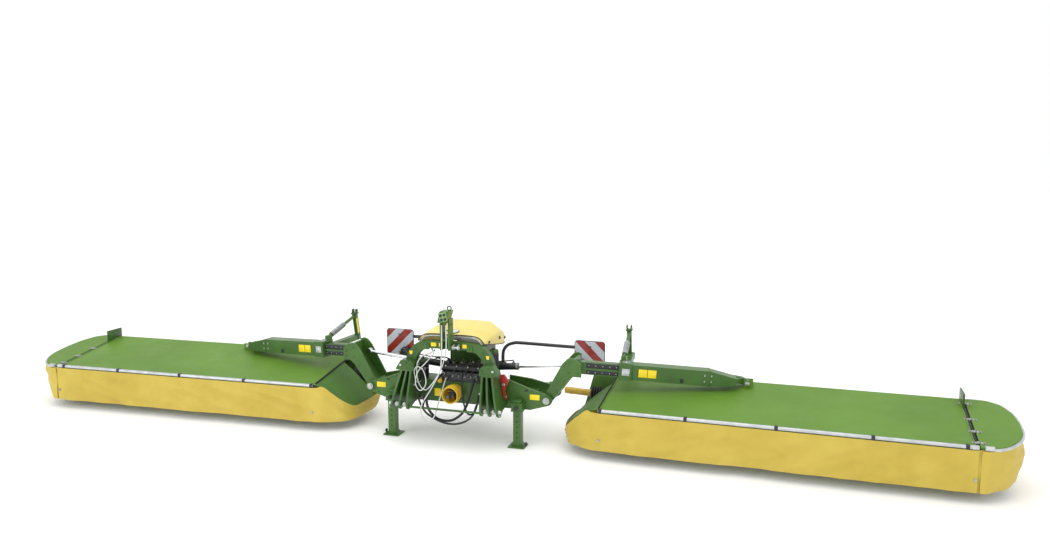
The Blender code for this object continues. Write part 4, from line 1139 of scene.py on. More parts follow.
@dataclass
class MowerTrim:
    """Front tube, hinges, seams and bolts of one mowing unit's cover."""

    side: Side
    tube_radius: float = 0.0178
    tube_place: Pair = (-0.008, 0.486)
    sleeve_radius: float = 0.0215
    hinges: tuple[float, ...] = (0.08, 0.30, 0.55, 0.90)
    flange_pitch: float = 0.27
    disc_count: int = 8
    disc_pitch: float = 0.425
    disc_middle: Point = (1.655, 0.420, 0.078)
    hub_reach: float = 0.050
    knife_reach: float = 0.112

    def build(self) -> None:
        """Add the trim of the cover and of its folding end."""
        self.front_tube()
        self.end_tube()
        self.hinge_line()
        self.rear_flange()
        self.discs()

    def front_tube(self) -> None:
        """Galvanised tube along the front, in black clips."""
        side, (y, z) = self.side.label, self.tube_place
        tube = Shape().rod((0.0, y, z), (COVER_LEN - 0.002, y, z), self.tube_radius, matrix=MOWER)
        tube.rod((COVER_LEN - 0.060, y, z), (COVER_LEN - 0.004, y, z), self.sleeve_radius,
                 matrix=MOWER)
        tube.make(f"front_tube_{side}", Finishes.ZINC, f"mower_{side}", self.side)
        clips = Shape()
        for x in (0.020, 0.825, 1.630, 2.435, COVER_LEN - 0.090):
            clips.block((x - 0.016, x + 0.016), (y - 0.022, y + 0.026), (z - 0.024, z + 0.022),
                        0.006, MOWER)
        clips.make(f"tube_clips_{side}", Finishes.NYLON, f"mower_{side}", self.side)
        rail = Shape().block((0.01, COVER_LEN - 0.01), (-0.020, -0.012), (0.440, 0.470), 0.002,
                             MOWER)
        rail.make(f"curtain_rail_{side}", Finishes.FRAME, f"mower_{side}", self.side)

    def end_tube(self) -> None:
        """Galvanised tube round the folding end, with its sleeve."""
        side = self.side.label
        knots = [(3.300, -0.006), *((x + 0.004, y - 0.002) for x, y in END_OUTLINE), (3.300, 1.022)]
        path = smooth_route([(x, y, cover_z(y) - 0.016) for x, y in knots], 60)
        hoop = Shape().tube(path, 0.0135, 14, matrix=MOWER)
        hoop.rod((3.300, -0.008, 0.486), (3.372, -0.004, 0.486), self.sleeve_radius, matrix=MOWER)
        hoop.make(f"end_tube_{side}", Finishes.ZINC, f"end_{side}", self.side)

    def hinge_line(self) -> None:
        """Hinges between the cover and its end, the rubber strip under them, which also stands in for
        the hinge line's shade, a dark sheet under the gap as painted shadow, and the upright.
        """
        side = self.side.label
        leaves, flaps, pins, caps = Shape(), Shape(), [], []
        for y in self.hinges:
            leaves.block((3.212, 3.256), (y - 0.018, y + 0.018), (0.0, 0.004), 0.0015, DECK)
            leaves.rod((3.266, y - 0.022, 0.004), (3.266, y + 0.022, 0.004), 0.005, sides=12,
                       ease=0.001, matrix=DECK)
            leaves.block((3.250, 3.264), (y - 0.022, y + 0.022), (0.001, 0.004), 0.0, DECK)
            flaps.block((3.279, 3.320), (y - 0.018, y + 0.018), (0.0, 0.004), 0.0015, DECK)
            for heads, x in ((pins, 3.228), (caps, 3.306)):
                heads += [(DECK @ Vector((x, y + shift, 0.004)), (0, 0, 1))
                          for shift in (-0.010, 0.010)]
        leaves.make(f"hinge_leaves_{side}", Finishes.STEEL, f"mower_{side}", self.side)
        flaps.make(f"hinge_flaps_{side}", Finishes.STEEL, f"end_{side}", self.side)
        bolts(f"hinge_pins_{side}", pins, f"mower_{side}", self.side, 0.006)
        bolts(f"hinge_caps_{side}", caps, f"end_{side}", self.side, 0.006)
        # painted shade: a black rubber strip on the cover's edge, partly a real seal, darkens the hinge
        # line, and a dark sheet under the gap is painted shadow that keeps the gap dark
        strip = Shape().block((3.228, 3.259), (0.010, 1.005), (0.0005, 0.0035), 0.001, DECK)
        strip.block((3.225, 3.295), (0.020, 1.000), (-0.052, -0.046), 0.001, DECK)
        strip.make(f"seam_strip_{side}", Finishes.RUBBER, f"mower_{side}", self.side)
        # a darker plate over the cover's upright, in the frame enamel's painted shade
        upright = Shape().block((3.2305, 3.2455), (0.769, 1.011), (0.600, 0.7365), 0.003, MOWER)
        upright.make(f"upright_{side}", Finishes.FRAME, f"mower_{side}", self.side)

    def rear_flange(self) -> None:
        """Bolts of the rear flange, and the pressed ribs that stiffen the sheet."""
        side = self.side.label
        count = int(COVER_LEN / self.flange_pitch)
        row = [(MOWER @ Vector((0.09 + at * self.flange_pitch, 1.0205, 0.585)), (0, 1, 0))
               for at in range(count)]
        bolts(f"flange_bolts_{side}", row, f"mower_{side}", self.side, 0.008)
        folds = Shape()
        for x in (0.006, COVER_LEN - 0.036):
            folds.block((x, x + 0.012), (0.02, 1.00), (0.0, 0.006), 0.003, DECK)
        folds.make(f"cover_folds_{side}", Finishes.COVER, f"mower_{side}", self.side)

    def discs(self) -> None:
        """Knife bolts and hub bolts on the cutting discs."""
        side = self.side.label
        x, y, z = self.disc_middle
        for index in range(self.disc_count):
            along = (index - (self.disc_count - 1) / 2) * self.disc_pitch
            centre = MOWER @ Vector((x + along, y, z))
            turn = math.radians(90 * (index % 2) + UNIT_YAW)
            knife = Vector((math.cos(turn), math.sin(turn), 0)) * self.knife_reach
            hub = self.hub_reach
            ring = [(centre + Vector((hub * math.cos(a), hub * math.sin(a), 0.030)), (0, 0, 1))
                    for a in (math.radians(45 + 90 * at) for at in range(4))]
            ring += [(centre + knife * way + Vector((0, 0, 0.026)), (0, 0, 1)) for way in (1, -1)]
            bolts(f"disc_bolts_{index + 1}_{side}", ring, f"disc_{index + 1}_{side}", self.side,
                  0.009)


# --- boom ------------------------------------------------------------------------------------
@dataclass
class BoomTrim:
    """Wear strips, bolts, pins and guards of one telescopic boom."""

    side: Side
    strip_heights: tuple[Pair, ...] = ((0.006, 0.055), (-0.054, -0.014))
    stud_x: tuple[float, ...] = (0.095, 0.165, 0.235, 0.305, 0.370)
    stud_z: Pair = (0.033, -0.035)
    stud_radius: float = 0.0050
    band_x: Pair = (0.527, 1.279)
    spring_turns: int = 22
    spring_radius: float = 0.027
    bellows_folds: int = 6
    fold_pitch: float = 0.026
    cylinder_base: Point = (0.060, 0.215, 0.700)
    cylinder_eye: Point = (1.090, 0.215, 0.794)

    def build(self) -> None:
        """Dress the knuckle, the sleeve, the post and the drive shaft."""
        self.knuckle()
        self.sleeve()
        self.post()
        self.shaft()
        self.cylinder()

    def knuckle(self) -> None:
        """Bolts of the knuckle's plates, the wing pin's washer and the tube's wear strips."""
        side = self.side.label
        heads = [((x, 0.030, z), (0, -1, 0)) for x, z in
                 ((1.052, 0.570), (1.120, 0.672), (1.178, 0.765), (1.180, 0.868), (1.268, 0.765),
                  (1.268, 0.832))]
        heads += [((x, 0.325, z), (0, 1, 0)) for x, _, z in (point[0] for point in heads[:4])]
        bolts(f"knuckle_bolts_{side}", heads, f"boom_{side}", self.side, 0.008, Finishes.BODY)
        x, z = WING_PIN
        pin = Shape().turned((x, -0.030, z), (x, -1.0, z),
                             [(0, 0.034), (0.006, 0.034), (0.007, 0.024), (0.016, 0.023),
                              (0.018, 0.020)], 24)
        pin.make(f"wing_pin_{side}", Finishes.STEEL, "frame", self.side)
        strips = Shape()
        for low, high in self.strip_heights:
            strips.block((0.072, 0.392), (-0.0558, -0.0545), (low, high), 0.0004, BOOM)
        strips.block((0.060, 0.392), (-0.0475, -0.0300), (0.0605, 0.0618), 0.0004, BOOM)
        strips.make(f"wear_strips_{side}", Finishes.NYLON, f"boom_{side}", self.side)
        studs = Shape()
        for x in self.stud_x:
            for z in self.stud_z:
                studs.rod((x, -0.0550, z), (x, -0.0566, z), self.stud_radius, sides=16,
                          ease=0.0003, matrix=BOOM)
        studs.make(f"strip_studs_{side}", Finishes.STEEL, f"boom_{side}", self.side)

    def sleeve(self) -> None:
        """Collar plate, blank decal, stop pad, weld bands and hanging pin of the outer boom."""
        side, body = self.side.label, f"outer_boom_{self.side.label}"
        plate = Shape().block((0.425, 0.500), (-0.0885, -0.0850), (-0.034, 0.036), 0.006, BOOM)
        plate.block((0.430, 0.495), (-0.040, 0.040), (0.0860, 0.0895), 0.005, BOOM)
        plate.make(f"collar_plate_{side}", Finishes.ZINC, body, self.side)
        heads = [(BOOM @ Vector((x, -0.0885, z)), (0, -1, 0)) for x in (0.438, 0.487)
                 for z in (-0.022, 0.024)]
        heads += [(BOOM @ Vector((x, y, 0.0895)), (0, 0, 1)) for x in (0.444, 0.482)
                  for y in (-0.025, 0.025)]
        heads += [(BOOM @ Vector((x, -0.075, z)), (0, -1, 0)) for x in (1.235, 1.300)
                  for z in (-0.030, 0.030)]
        bolts(f"collar_bolts_{side}", heads, body, self.side, 0.007)
        decal = Shape()
        for low in (0.590, 0.680):
            decal.block((low, low + 0.084), (-0.0757, -0.0745), (-0.040, 0.040), 0.0003, BOOM)
        decal.make(f"boom_decal_{side}", Finishes.STICKER, body, self.side)
        pad = Shape().block((1.000, 1.030), (-0.084, -0.0745), (-0.060, -0.020), 0.004, BOOM)
        pad.make(f"stop_pad_{side}", Finishes.NYLON, body, self.side)
        bands = Shape()
        for x in self.band_x:
            for way in (-1, 1):
                bands.block((x, x + 0.010), sorted((way * 0.0745, way * 0.0775)), (-0.0785, 0.0785),
                            0.001, BOOM)
                bands.block((x, x + 0.010), (-0.0775, 0.0775), sorted((way * 0.0755, way * 0.0785)),
                            0.001, BOOM)
        bands.make(f"weld_bands_{side}", Finishes.BODY, body, self.side)
        x, z = HANG_PIN
        pin = Shape().turned((x, 0.570, z), (x, -1.0, z),
                             [(0, 0.026), (0.006, 0.026), (0.007, 0.019), (0.020, 0.018),
                              (0.022, 0.015)], 20)
        pin.turned((x, 0.680, z), (x, 2.0, z),
                   [(0, 0.026), (0.006, 0.026), (0.007, 0.019), (0.018, 0.017)], 20)
        pin.make(f"hanging_pin_{side}", Finishes.STEEL, f"mower_{side}", self.side)

    def post(self) -> None:
        """Head plate, bolts, decal and spring of the braced post."""
        side, body = self.side.label, f"outer_boom_{self.side.label}"
        head = Shape().block((1.585, 1.652), (0.858, 0.932), (1.050, 1.066), 0.004)
        head.block((1.592, 1.600), (0.865, 0.925), (1.060, 1.110), 0.003)
        head.block((1.634, 1.642), (0.865, 0.925), (1.060, 1.110), 0.003)
        head.make(f"post_head_{side}", Finishes.FRAME, body, self.side)
        bolts(f"post_bolts_{side}",
              [((1.592, 0.895, 1.088), (-1, 0, 0)), ((1.642, 0.895, 1.088), (1, 0, 0)),
               ((1.595, 0.955, 0.790), (-1, 0, 0)), ((1.640, 0.955, 0.790), (1, 0, 0)),
               ((1.665, 0.330, 0.850), (0, -1, 0)), ((1.665, 0.330, 0.815), (0, -1, 0))],
              body, self.side, 0.008, Finishes.BODY)
        start, end = Vector((1.661, 0.420, 0.900)), Vector((1.640, 0.660, 0.966))
        turns = self.spring_turns
        coil = [(start.lerp(end, at / turns), end - start, self.spring_radius)
                for at in range(turns + 1)]
        rings(f"post_spring_{side}", coil, 0.0035, Finishes.STEEL, body, self.side)
        film = Shape().plate([(0.9160, 0.820), (0.9560, 0.820), (0.9150, 1.000), (0.8760, 1.000)],
                             "x", 1.5942, 1.5951, 0.0)
        film.make(f"post_decal_{side}", Finishes.STICKER, body, self.side)

    def shaft(self) -> None:
        """Guard tube and ribbed bellows of the drive shaft."""
        side, body = self.side.label, f"boom_{self.side.label}"
        start, middle, end = ((x, SHAFT_Y, z) for x, z in
                              ((1.010, 0.446), (1.290, 0.434), (1.446, 0.428)))
        tube = Shape().turned(start, middle, [(0, 0.030), (0.004, 0.035), (0.060, 0.035),
                                              (0.062, 0.038), (0.080, 0.038), (0.082, 0.035),
                                              (0.276, 0.035)], 24)
        tube.make(f"shaft_tube_{side}", Finishes.SHAFT, body, self.side, [f"drive_shaft_{side}"])
        profile = [(0.0, 0.036)]
        for fold in range(self.bellows_folds):
            profile += [(at + fold * self.fold_pitch, radius) for at, radius in
                        ((0.004, 0.058), (0.012, 0.072), (0.020, 0.072), (0.027, 0.056))]
        bellows = Shape().turned(middle, end, profile + [(0.168, 0.050)], 28)
        bellows.make(f"shaft_bellows_{side}", Finishes.RUBBER, body, self.side)

    def cylinder(self) -> None:
        """Gland ring, port blocks and pipe of the lift cylinder."""
        side = self.side.label
        base = Vector(self.cylinder_base)
        along = (Vector(self.cylinder_eye) - base).normalized()
        rings(f"gland_{side}", [(base + along * at, along, 0.034) for at in (0.525, 0.536)], 0.0055,
              Finishes.STEEL, f"cylinder_{side}", self.side)
        ports = Shape()
        for at in (0.110, 0.490):
            spot = base + along * at + Vector((0, 0, 0.034))
            ports.block((spot.x - 0.014, spot.x + 0.014), (spot.y - 0.014, spot.y + 0.014),
                        (spot.z - 0.004, spot.z + 0.012), 0.002)
            ports.rod(spot + Vector((0, 0, 0.010)), spot + Vector((0, 0, 0.030)), 0.009, sides=6)
        ports.make(f"cylinder_ports_{side}", Finishes.STEEL, f"cylinder_{side}", self.side)
        pipe = smooth_route([base + along * at + Vector((0, y, z)) for at, y, z in
                             ((0.115, 0, 0.066), (0.150, -0.010, 0.078), (0.300, -0.006, 0.058),
                              (0.450, -0.004, 0.062), (0.490, 0, 0.066))], 30)
        Shape().tube(pipe, 0.006, 10).make(f"cylinder_pipe_{side}", Finishes.RUBBER,
                                           f"cylinder_{side}", self.side)


# --- centre frame trim --------------------------------------------------------------------------
@dataclass
class CentreTrim:
    """Everything small on the fixed frame between the two booms."""

    drive_z: float = 0.497
    hitch_pin: Pair = (-0.330, 0.415)           # y and z
    ball_x: Pair = (0.431, 0.515)
    ball_radius: float = 0.028
    stores: tuple = (("right", 0.385, 0.940, 0.050), ("left", -0.395, 0.800, 0.060))
    store_y: float = 0.060
    rib_pitch: float = 0.0125
    stand_x: float = 0.684
    hole_pitch: float = 0.055

    def build(self) -> None:
        """Dress the arch, the hitch, the drive, the valves, the stores and the hood."""
        self.arch()
        self.hitch()
        self.drive()
        self.valves()
        self.store_sleeves()
        self.mast()
        self.hood_fixings()
        self.housing()
        for side in Side:
            self.arm(side)
            self.stand(side)

    def arch(self) -> None:
        """Blank decals, brackets, bolts and the upper link's clevis."""
        films = Shape()
        for low, high in ((-0.190, -0.135), (-0.105, -0.070), (0.145, 0.190)):
            films.block((low, high), (FILM_FRONT, FILM_BACK), (0.996, 1.034), 0.0003)
        for way in (-1, 1):
            films.plate([(way * 0.400, 0.900), (way * 0.424, 0.900), (way * 0.428, 0.935),
                         (way * 0.392, 0.935)], "y", FILM_FRONT, FILM_BACK, 0.0)
        films.block((-0.225, -0.155), (-0.0410, -0.0395), (0.440, 0.520), 0.0003)
        films.make("arch_decals", Finishes.STICKER, "frame")
        brackets = Shape()
        for x in (-0.235, 0.225):
            brackets.plate([(x - 0.030, 0.962), (x + 0.030, 0.962), (x + 0.024, 1.020),
                            (x - 0.024, 1.020)], "y", -0.206, FILM_BACK, 0.003)
        brackets.block((-0.120, 0.120), (-0.2010, FILM_BACK), (0.978, 0.990), 0.002)
        brackets.make("arch_brackets", Finishes.BODY, "frame")
        bolts("arch_bolts", [((x, -0.206, z), (0, -1, 0)) for x in (-0.235, 0.225)
                             for z in (0.980, 1.004)]
              + [((way * x, -0.195, z), (0, -1, 0)) for way in (-1, 1)
                 for x, z in ((0.420, 0.790), (0.418, 0.850), (0.360, 0.955))],
              "frame", radius=0.008, finish=Finishes.FRAME)
        clevis = Shape()
        for low, high in ((0.062, 0.074), (0.116, 0.128)):
            clevis.plate([(-0.2165, 0.980), (-0.2165, 1.038), (-0.262, 1.030), (-0.272, 1.010),
                          (-0.262, 0.990)], "x", low, high, 0.003)
        clevis.rod((0.052, -0.250, 1.010), (0.138, -0.250, 1.010), 0.0105)
        clevis.make("upper_clevis", Finishes.ZINC, "frame")

    def hitch(self) -> None:
        """Balls, pin heads and keepers of the lower hitch, bolts of the fins' top plates."""
        balls, pins = Shape(), Shape()
        (y, z), size = self.hitch_pin, self.ball_radius
        for way in (-1, 1):
            for x in self.ball_x:
                profile = [(size - size * math.cos(math.radians(a)),
                            max(0.019, size * math.sin(math.radians(a))))
                           for a in range(20, 161, 14)]
                balls.turned((way * (x - size), y, z), (way * 2, y, z), profile, 24)
            pins.turned((way * 0.568, y, z), (way * 2, y, z),
                        [(0, 0.024), (0.008, 0.024), (0.009, 0.018), (0.026, 0.016)], 20)
            loop = [(way * 0.585, y + 0.034 * math.cos(a), 0.402 - 0.034 * math.sin(a))
                    for a in (math.radians(18 * at) for at in range(11))]
            pins.tube(loop, 0.0035, 8)
            pins.rod((way * 0.480, -0.2785, 0.800), (way * 0.500, -0.2785, 0.800), 0.012)
        balls.make("hitch_balls", Finishes.STEEL, "frame")
        pins.make("hitch_pins", Finishes.ZINC, "frame")
        heads = [((way * x, -0.275, z), (0, -1, 0)) for way in (-1, 1)
                 for x, z in ((0.372, 0.800), (0.430, 0.825), (0.490, 0.790))]
        bolts("gusset_bolts", heads, "frame", radius=0.008, finish=Finishes.FRAME)
        catch = Shape().turned((0.550, -0.125, 0.640), (0.550, -1.0, 0.640),
                               [(0, 0.016), (0.004, 0.016), (0.005, 0.010), (0.022, 0.009)], 18)
        catch.rod((0.575, -0.126, 0.520), (0.575, -0.132, 0.520), 0.009)
        catch.make("catch_pin", Finishes.STEEL, "frame")

    def drive(self) -> None:
        """Rim, fingers and cap of the power shaft's guard, and the shaft's splines."""
        z = self.drive_z
        rings("guard_rim", [((0, y, z), (0, 1, 0), r) for y, r in
                            ((-0.184, 0.082), (-0.150, 0.086), (-0.110, 0.0865))], 0.0065,
              Finishes.GUARD, "frame")
        # black rubber disc at the back of the guard cup: painted shade for the cup's dark inside
        dark = Shape().turned((0, -0.0545, z), (0, -0.075, z),
                              [(0, 0.047), (0.004, 0.047), (0.004, 0.0750), (0, 0.0750)], 32)
        dark.make("guard_back_painted_shade", Finishes.RUBBER, "frame")
        fingers = Shape()
        for at in range(8):
            turn = Matrix.Rotation(math.radians(45 * at + 11), 4, "Y")
            fingers.plate([(0.047, -0.006), (0.073, -0.021), (0.0745, 0.0), (0.073, 0.021),
                           (0.047, 0.006)], "y", -0.064, -0.0592, 0.001,
                          Matrix.Translation((0, 0, z)) @ turn)
        fingers.make("guard_fingers", Finishes.GUARD, "frame")
        cap = Shape().turned((-0.160, -0.041, 0.610), (-0.160, -1.0, 0.610),
                             [(0, 0.026), (0.020, 0.026), (0.026, 0.020), (0.028, 0.0)], 24)
        cap.make("oil_cap", Finishes.GUARD, "frame")
        spline = Shape()
        for at in range(6):
            turn = Matrix.Rotation(math.radians(60 * at), 4, "Y")
            spline.block((-0.0035, 0.0035), (-0.249, -0.172), (0.0165, 0.0195), 0.0006,
                         Matrix.Translation((0, 0, z)) @ turn)
        spline.rod((-0.0335, -0.145, z), (0.0335, -0.145, z), 0.010)
        spline.make("shaft_splines", Finishes.BLADE, "pto")

    def valves(self) -> None:
        """Caps, fittings, pipes and bolts of the valve block."""
        caps, fittings, pipes = Shape(), Shape(), Shape()
        for x in (-0.125, 0.255):
            way = 1 if x > 0 else -1
            caps.turned((x + way * 0.024, 0.045, 0.735), (way * 5, 0.045, 0.735),
                        [(0, 0.050), (0.010, 0.050), (0.020, 0.044), (0.024, 0.030)], 28)
        for x in (-0.100, -0.030, 0.060, 0.150, 0.235):
            caps.block((x - 0.018, x + 0.018), (0.010, 0.080), (0.775, 0.806), 0.004)
            caps.rod((x, 0.045, 0.806), (x, 0.045, 0.826), 0.013)
        caps.block((-0.150, 0.280), (-0.034, -0.0295), (0.612, 0.632), 0.001)
        caps.make("valve_caps", Finishes.BLACK, "frame")
        spots = (-0.030, 0.035, 0.100, 0.165)
        for x in spots:
            fittings.turned((x, -0.030, 0.664), (x, -1, 0.664),
                            [(0, 0.013), (0.010, 0.013), (0.011, 0.010), (0.020, 0.010)], 6)
        for x in (-0.110, 0.010, 0.130, 0.240):
            fittings.turned((x, 0.002, 0.755), (x, -1, 0.900), [(0, 0.008), (0.014, 0.008)], 6)
        fittings.make("valve_fittings", Finishes.STEEL, "frame")
        ends = ((0.342, 0.010, 0.760), (0.330, -0.010, 0.690), (0.330, 0.060, 0.640),
                (0.335, 0.100, 0.600))
        for x, end in zip(spots, ends):
            route = smooth_route([(x, -0.050, 0.664), (x, -0.078, 0.672), (x + 0.045, -0.082, 0.735),
                                  (x + 0.120, -0.050, 0.800), (0.305, -0.010, 0.790), end], 40)
            pipes.tube(route, 0.0055, 8)
        for x, end in ((-0.110, (-0.340, 0.010, 0.720)), (0.010, (-0.330, 0.030, 0.660))):
            route = smooth_route([(x, -0.012, 0.775), (x - 0.040, -0.045, 0.830),
                                  (x - 0.150, -0.040, 0.850), (-0.290, -0.010, 0.780), end], 36)
            pipes.tube(route, 0.0055, 8)
        pipes.make("valve_pipes", Finishes.RUBBER, "frame")
        bolts("valve_bolts", [((x, -0.034, 0.622), (0, -1, 0)) for x in
                              (-0.135, -0.060, 0.015, 0.090, 0.165, 0.265)],
              "frame", radius=0.006, finish=Finishes.BLACK)

    def store_sleeves(self) -> None:
        """Ribbed sleeves and necks of the two pressure stores."""
        y = self.store_y
        for name, x, top, radius in self.stores:
            sleeve = Shape().turned((x, y, 0.612), (x, y, 5.0),
                                    [(0, radius + 0.0015), (top - 0.640, radius + 0.0015),
                                     (top - 0.620, radius * 0.80), (top - 0.606, 0.016),
                                     (top - 0.590, 0.014)], 32)
            sleeve.make(f"store_sleeve_{name}", Finishes.NYLON, "frame")
            count = int((top - 0.650) / self.rib_pitch)
            beads = [((x, y, 0.622 + at * self.rib_pitch), (0, 0, 1), radius + 0.0005)
                     for at in range(count)]
            rings(f"store_ribs_{name}", beads, 0.0034, Finishes.RUBBER, "frame")
            band = Shape().turned((x, y, 0.700), (x, y, 5.0),
                                  [(0, radius + 0.004), (0.014, radius + 0.004)], 32)
            band.make(f"store_band_{name}", Finishes.ZINC, "frame")

    def mast(self) -> None:
        """Sockets, lid and edge bolts of the box on the hose mast."""
        lean = Matrix.Translation((0.006, 0, 1.330)) @ Matrix.Rotation(math.radians(-14), 4, "Y")
        face = Shape().block((-0.042, 0.042), (-0.3545, -0.349), (-0.046, 0.046), 0.004, lean)
        face.make("socket_face", Finishes.SOCKET, "frame")
        sockets = Shape()
        for x in (-0.020, 0.020):
            for z in (-0.024, 0.020):
                sockets.turned((x, -0.354, z), (x, -1, z), [(0, 0.0145), (0.006, 0.0145),
                                                            (0.008, 0.010)], 18, lean)
        sockets.make("hose_sockets", Finishes.NYLON, "frame")
        bolts("mast_bolts", [((-0.050, y, z), (-1, 0, 0)) for y in (-0.280, -0.220)
                             for z in (1.020, 1.240)]
              + [((0.050, y, z), (1, 0, 0)) for y in (-0.280, -0.230) for z in (1.120, 1.240)],
              "frame", radius=0.007, finish=Finishes.BODY)
        ties = Shape()
        for z in (1.080, 1.180):
            ties.block((-0.034, 0.034), (-0.296, -0.288), (z, z + 0.016), 0.002)
        ties.make("mast_ties", Finishes.BODY, "frame")

    def hood_fixings(self) -> None:
        """Front bar, rubber edge and knobs of the hood."""
        bend = [(-0.330, 1.020), (-0.318, 1.040), (-0.245, 1.088), (0, 1.094), (0.245, 1.088),
                (0.318, 1.040), (0.330, 1.020)]
        bar = Shape().tube(smooth_route([(x, -0.128, z) for x, z in bend], 60), 0.009, 12)
        bar.make("hood_bar", Finishes.ZINC, "frame")
        knobs = Shape()
        for way in (-1, 1):
            for y, x, z in ((0.000, 0.357, 1.030), (0.330, 0.357, 1.010), (0.600, 0.322, 0.955)):
                knobs.turned((way * (x - 0.006), y, z), (way * 5, y, z),
                             [(0, 0.020), (0.006, 0.020), (0.008, 0.012), (0.016, 0.012)], 18)
            edge = [Vector((way * x, y, z)) for y, x, z in
                    ((-0.138, 0.352, 1.034), (0.120, 0.364, 0.984), (0.400, 0.352, 0.929),
                     (0.620, 0.317, 0.899), (0.738, 0.258, 0.884))]
            knobs.tube(smooth_route(edge, 40), 0.005, 8)
        front = [Vector((x, -0.1395, z)) for x, z in
                 ((-0.352, 1.036), (-0.346, 1.052), (-0.262, 1.106), (0, 1.112), (0.262, 1.106),
                  (0.346, 1.052), (0.352, 1.036))]
        knobs.tube(smooth_route(front, 50), 0.0055, 8)
        knobs.make("hood_knobs", Finishes.NYLON, "frame")
        ring = Shape().turned((0, -0.060, 1.126), (0, -0.067, 1.18),
                              [(0, 0.062), (0.006, 0.061), (0.008, 0.056)], 36)
        ring.make("hood_ring", Finishes.LABEL, "frame")
        disc = Shape().turned((0, -0.061, 1.1335), (0, -0.068, 1.19),
                              [(0, 0.052), (0.002, 0.051)], 36)
        disc.make("hood_disc", Finishes.CABLE, "frame")

    def housing(self) -> None:
        """Ribs, flanges, bolts and carrier tube behind the beam."""
        ribs = Shape()
        for z in (0.460, 0.560, 0.660, 0.760):
            ribs.block((-0.206, 0.206), (0.3600, 0.668), (z, z + 0.014), 0.003)
        for way in (-1, 1):
            ribs.turned((way * 0.200, SHAFT_Y, SHAFT_Z), (way * 5, SHAFT_Y, SHAFT_Z),
                        [(0, 0.088), (0.018, 0.088), (0.022, 0.064), (0.060, 0.062)], 32)
            ribs.turned((way * 0.842, SHAFT_Y, SHAFT_Z), (way * 5, SHAFT_Y, SHAFT_Z),
                        [(0, 0.062), (0.016, 0.062), (0.020, 0.040), (0.040, 0.038)], 32)
        ribs.make("housing_ribs", Finishes.FRAME, "frame")
        circle = [(0.072 * math.cos(a), 0.072 * math.sin(a)) for a in
                  (math.radians(30 + 60 * at) for at in range(6))]
        bolts("housing_bolts", [((way * 0.218, SHAFT_Y + dy, SHAFT_Z + dz), (way, 0, 0))
                                for way in (-1, 1) for dy, dz in circle]
              + [((x, 0.660, z), (0, 1, 0)) for x in (-0.175, 0.175) for z in (0.40, 0.61, 0.86)],
              "frame", radius=0.009)
        carrier = Shape().block((-0.045, 0.045), (0.6603, 1.120), (0.480, 0.540), 0.005)
        carrier.block((-0.170, 0.170), (1.095, 1.135), (0.470, 0.550), 0.004)
        for way in (-1, 1):
            route = [(0.125, 0.480), (0.125, 0.640), (0.145, 0.705), (0.190, 0.750), (0.250, 0.772),
                     (0.320, 0.780), (0.740, 0.775), (1.160, 0.770)]
            carrier.tube(smooth_route([(way * x, 1.138, z) for x, z in route], 60), 0.0195, 16)
            carrier.block(sorted((way * 1.010, way * 1.280)), (1.1180, 1.1240), (0.700, 0.790),
                          0.002)
        carrier.make("board_frame", Finishes.BLACK, "frame", replaces=["board_carrier"])

    def arm(self, side: Side) -> None:
        """Blank decals, weld bands and bolts of a side arm."""
        film = Shape().block((0.790, 0.890), (-0.0157, -0.0145), (0.476, 0.530), 0.0003)
        film.make(f"arm_decal_{side.label}", Finishes.STICKER, "frame", side)
        label = Shape().block((0.742, 0.776), (-0.0157, -0.0145), (0.556, 0.578), 0.0003)
        label.make(f"arm_label_{side.label}", Finishes.LABEL, "frame", side)
        trim = Shape().block((0.461, 0.474), (-0.021, -0.0145), (0.380, 0.690), 0.002)
        trim.block((0.475, 0.790), (-0.020, -0.0145), (0.372, 0.384), 0.002)
        trim.plate([(0.476, 0.688), (0.661, 0.624), (0.782, 0.581), (0.782, 0.571), (0.661, 0.614),
                    (0.476, 0.678)], "y", -0.020, -0.0145, 0.002)
        trim.make(f"arm_ribs_{side.label}", Finishes.BODY, "frame", side)
        bolts(f"arm_bolts_{side.label}",
              [((x, -0.015, z), (0, -1, 0)) for x, z in ((0.500, 0.440), (0.500, 0.640),
                                                         (0.880, 0.420), (0.900, 0.560))]
              + [((x, 0.370, z), (0, 1, 0)) for x, z in ((0.520, 0.420), (0.520, 0.560),
                                                         (0.680, 0.430), (0.860, 0.520))],
              "frame", side, 0.009, Finishes.BODY)

    def stand(self, side: Side) -> None:
        """Collar knob, lifting grip and row of holes of a parking stand; the holes are black discs of
        painted shade.
        """
        x, front = self.stand_x, -0.066 - 0.056
        knob = Shape().turned((x, front, 0.412), (x, -5.0, 0.412),
                              [(0, 0.012), (0.014, 0.012), (0.016, 0.020), (0.034, 0.021),
                               (0.038, 0.016)], 20)
        knob.make(f"stand_knob_{side.label}", Finishes.NYLON, "frame", side)
        collar = Shape()
        for z in (0.3695, 0.4435):
            for low, high in ((-0.060, -0.0475), (0.0475, 0.060)):
                collar.block((x + low, x + high), (-0.126, -0.016), (z, z + 0.012), 0.002)
            collar.block((x - 0.060, x + 0.060), (-0.1262, -0.1135), (z, z + 0.012), 0.002)
        collar.make(f"stand_collar_{side.label}", Finishes.BODY, "frame", side)
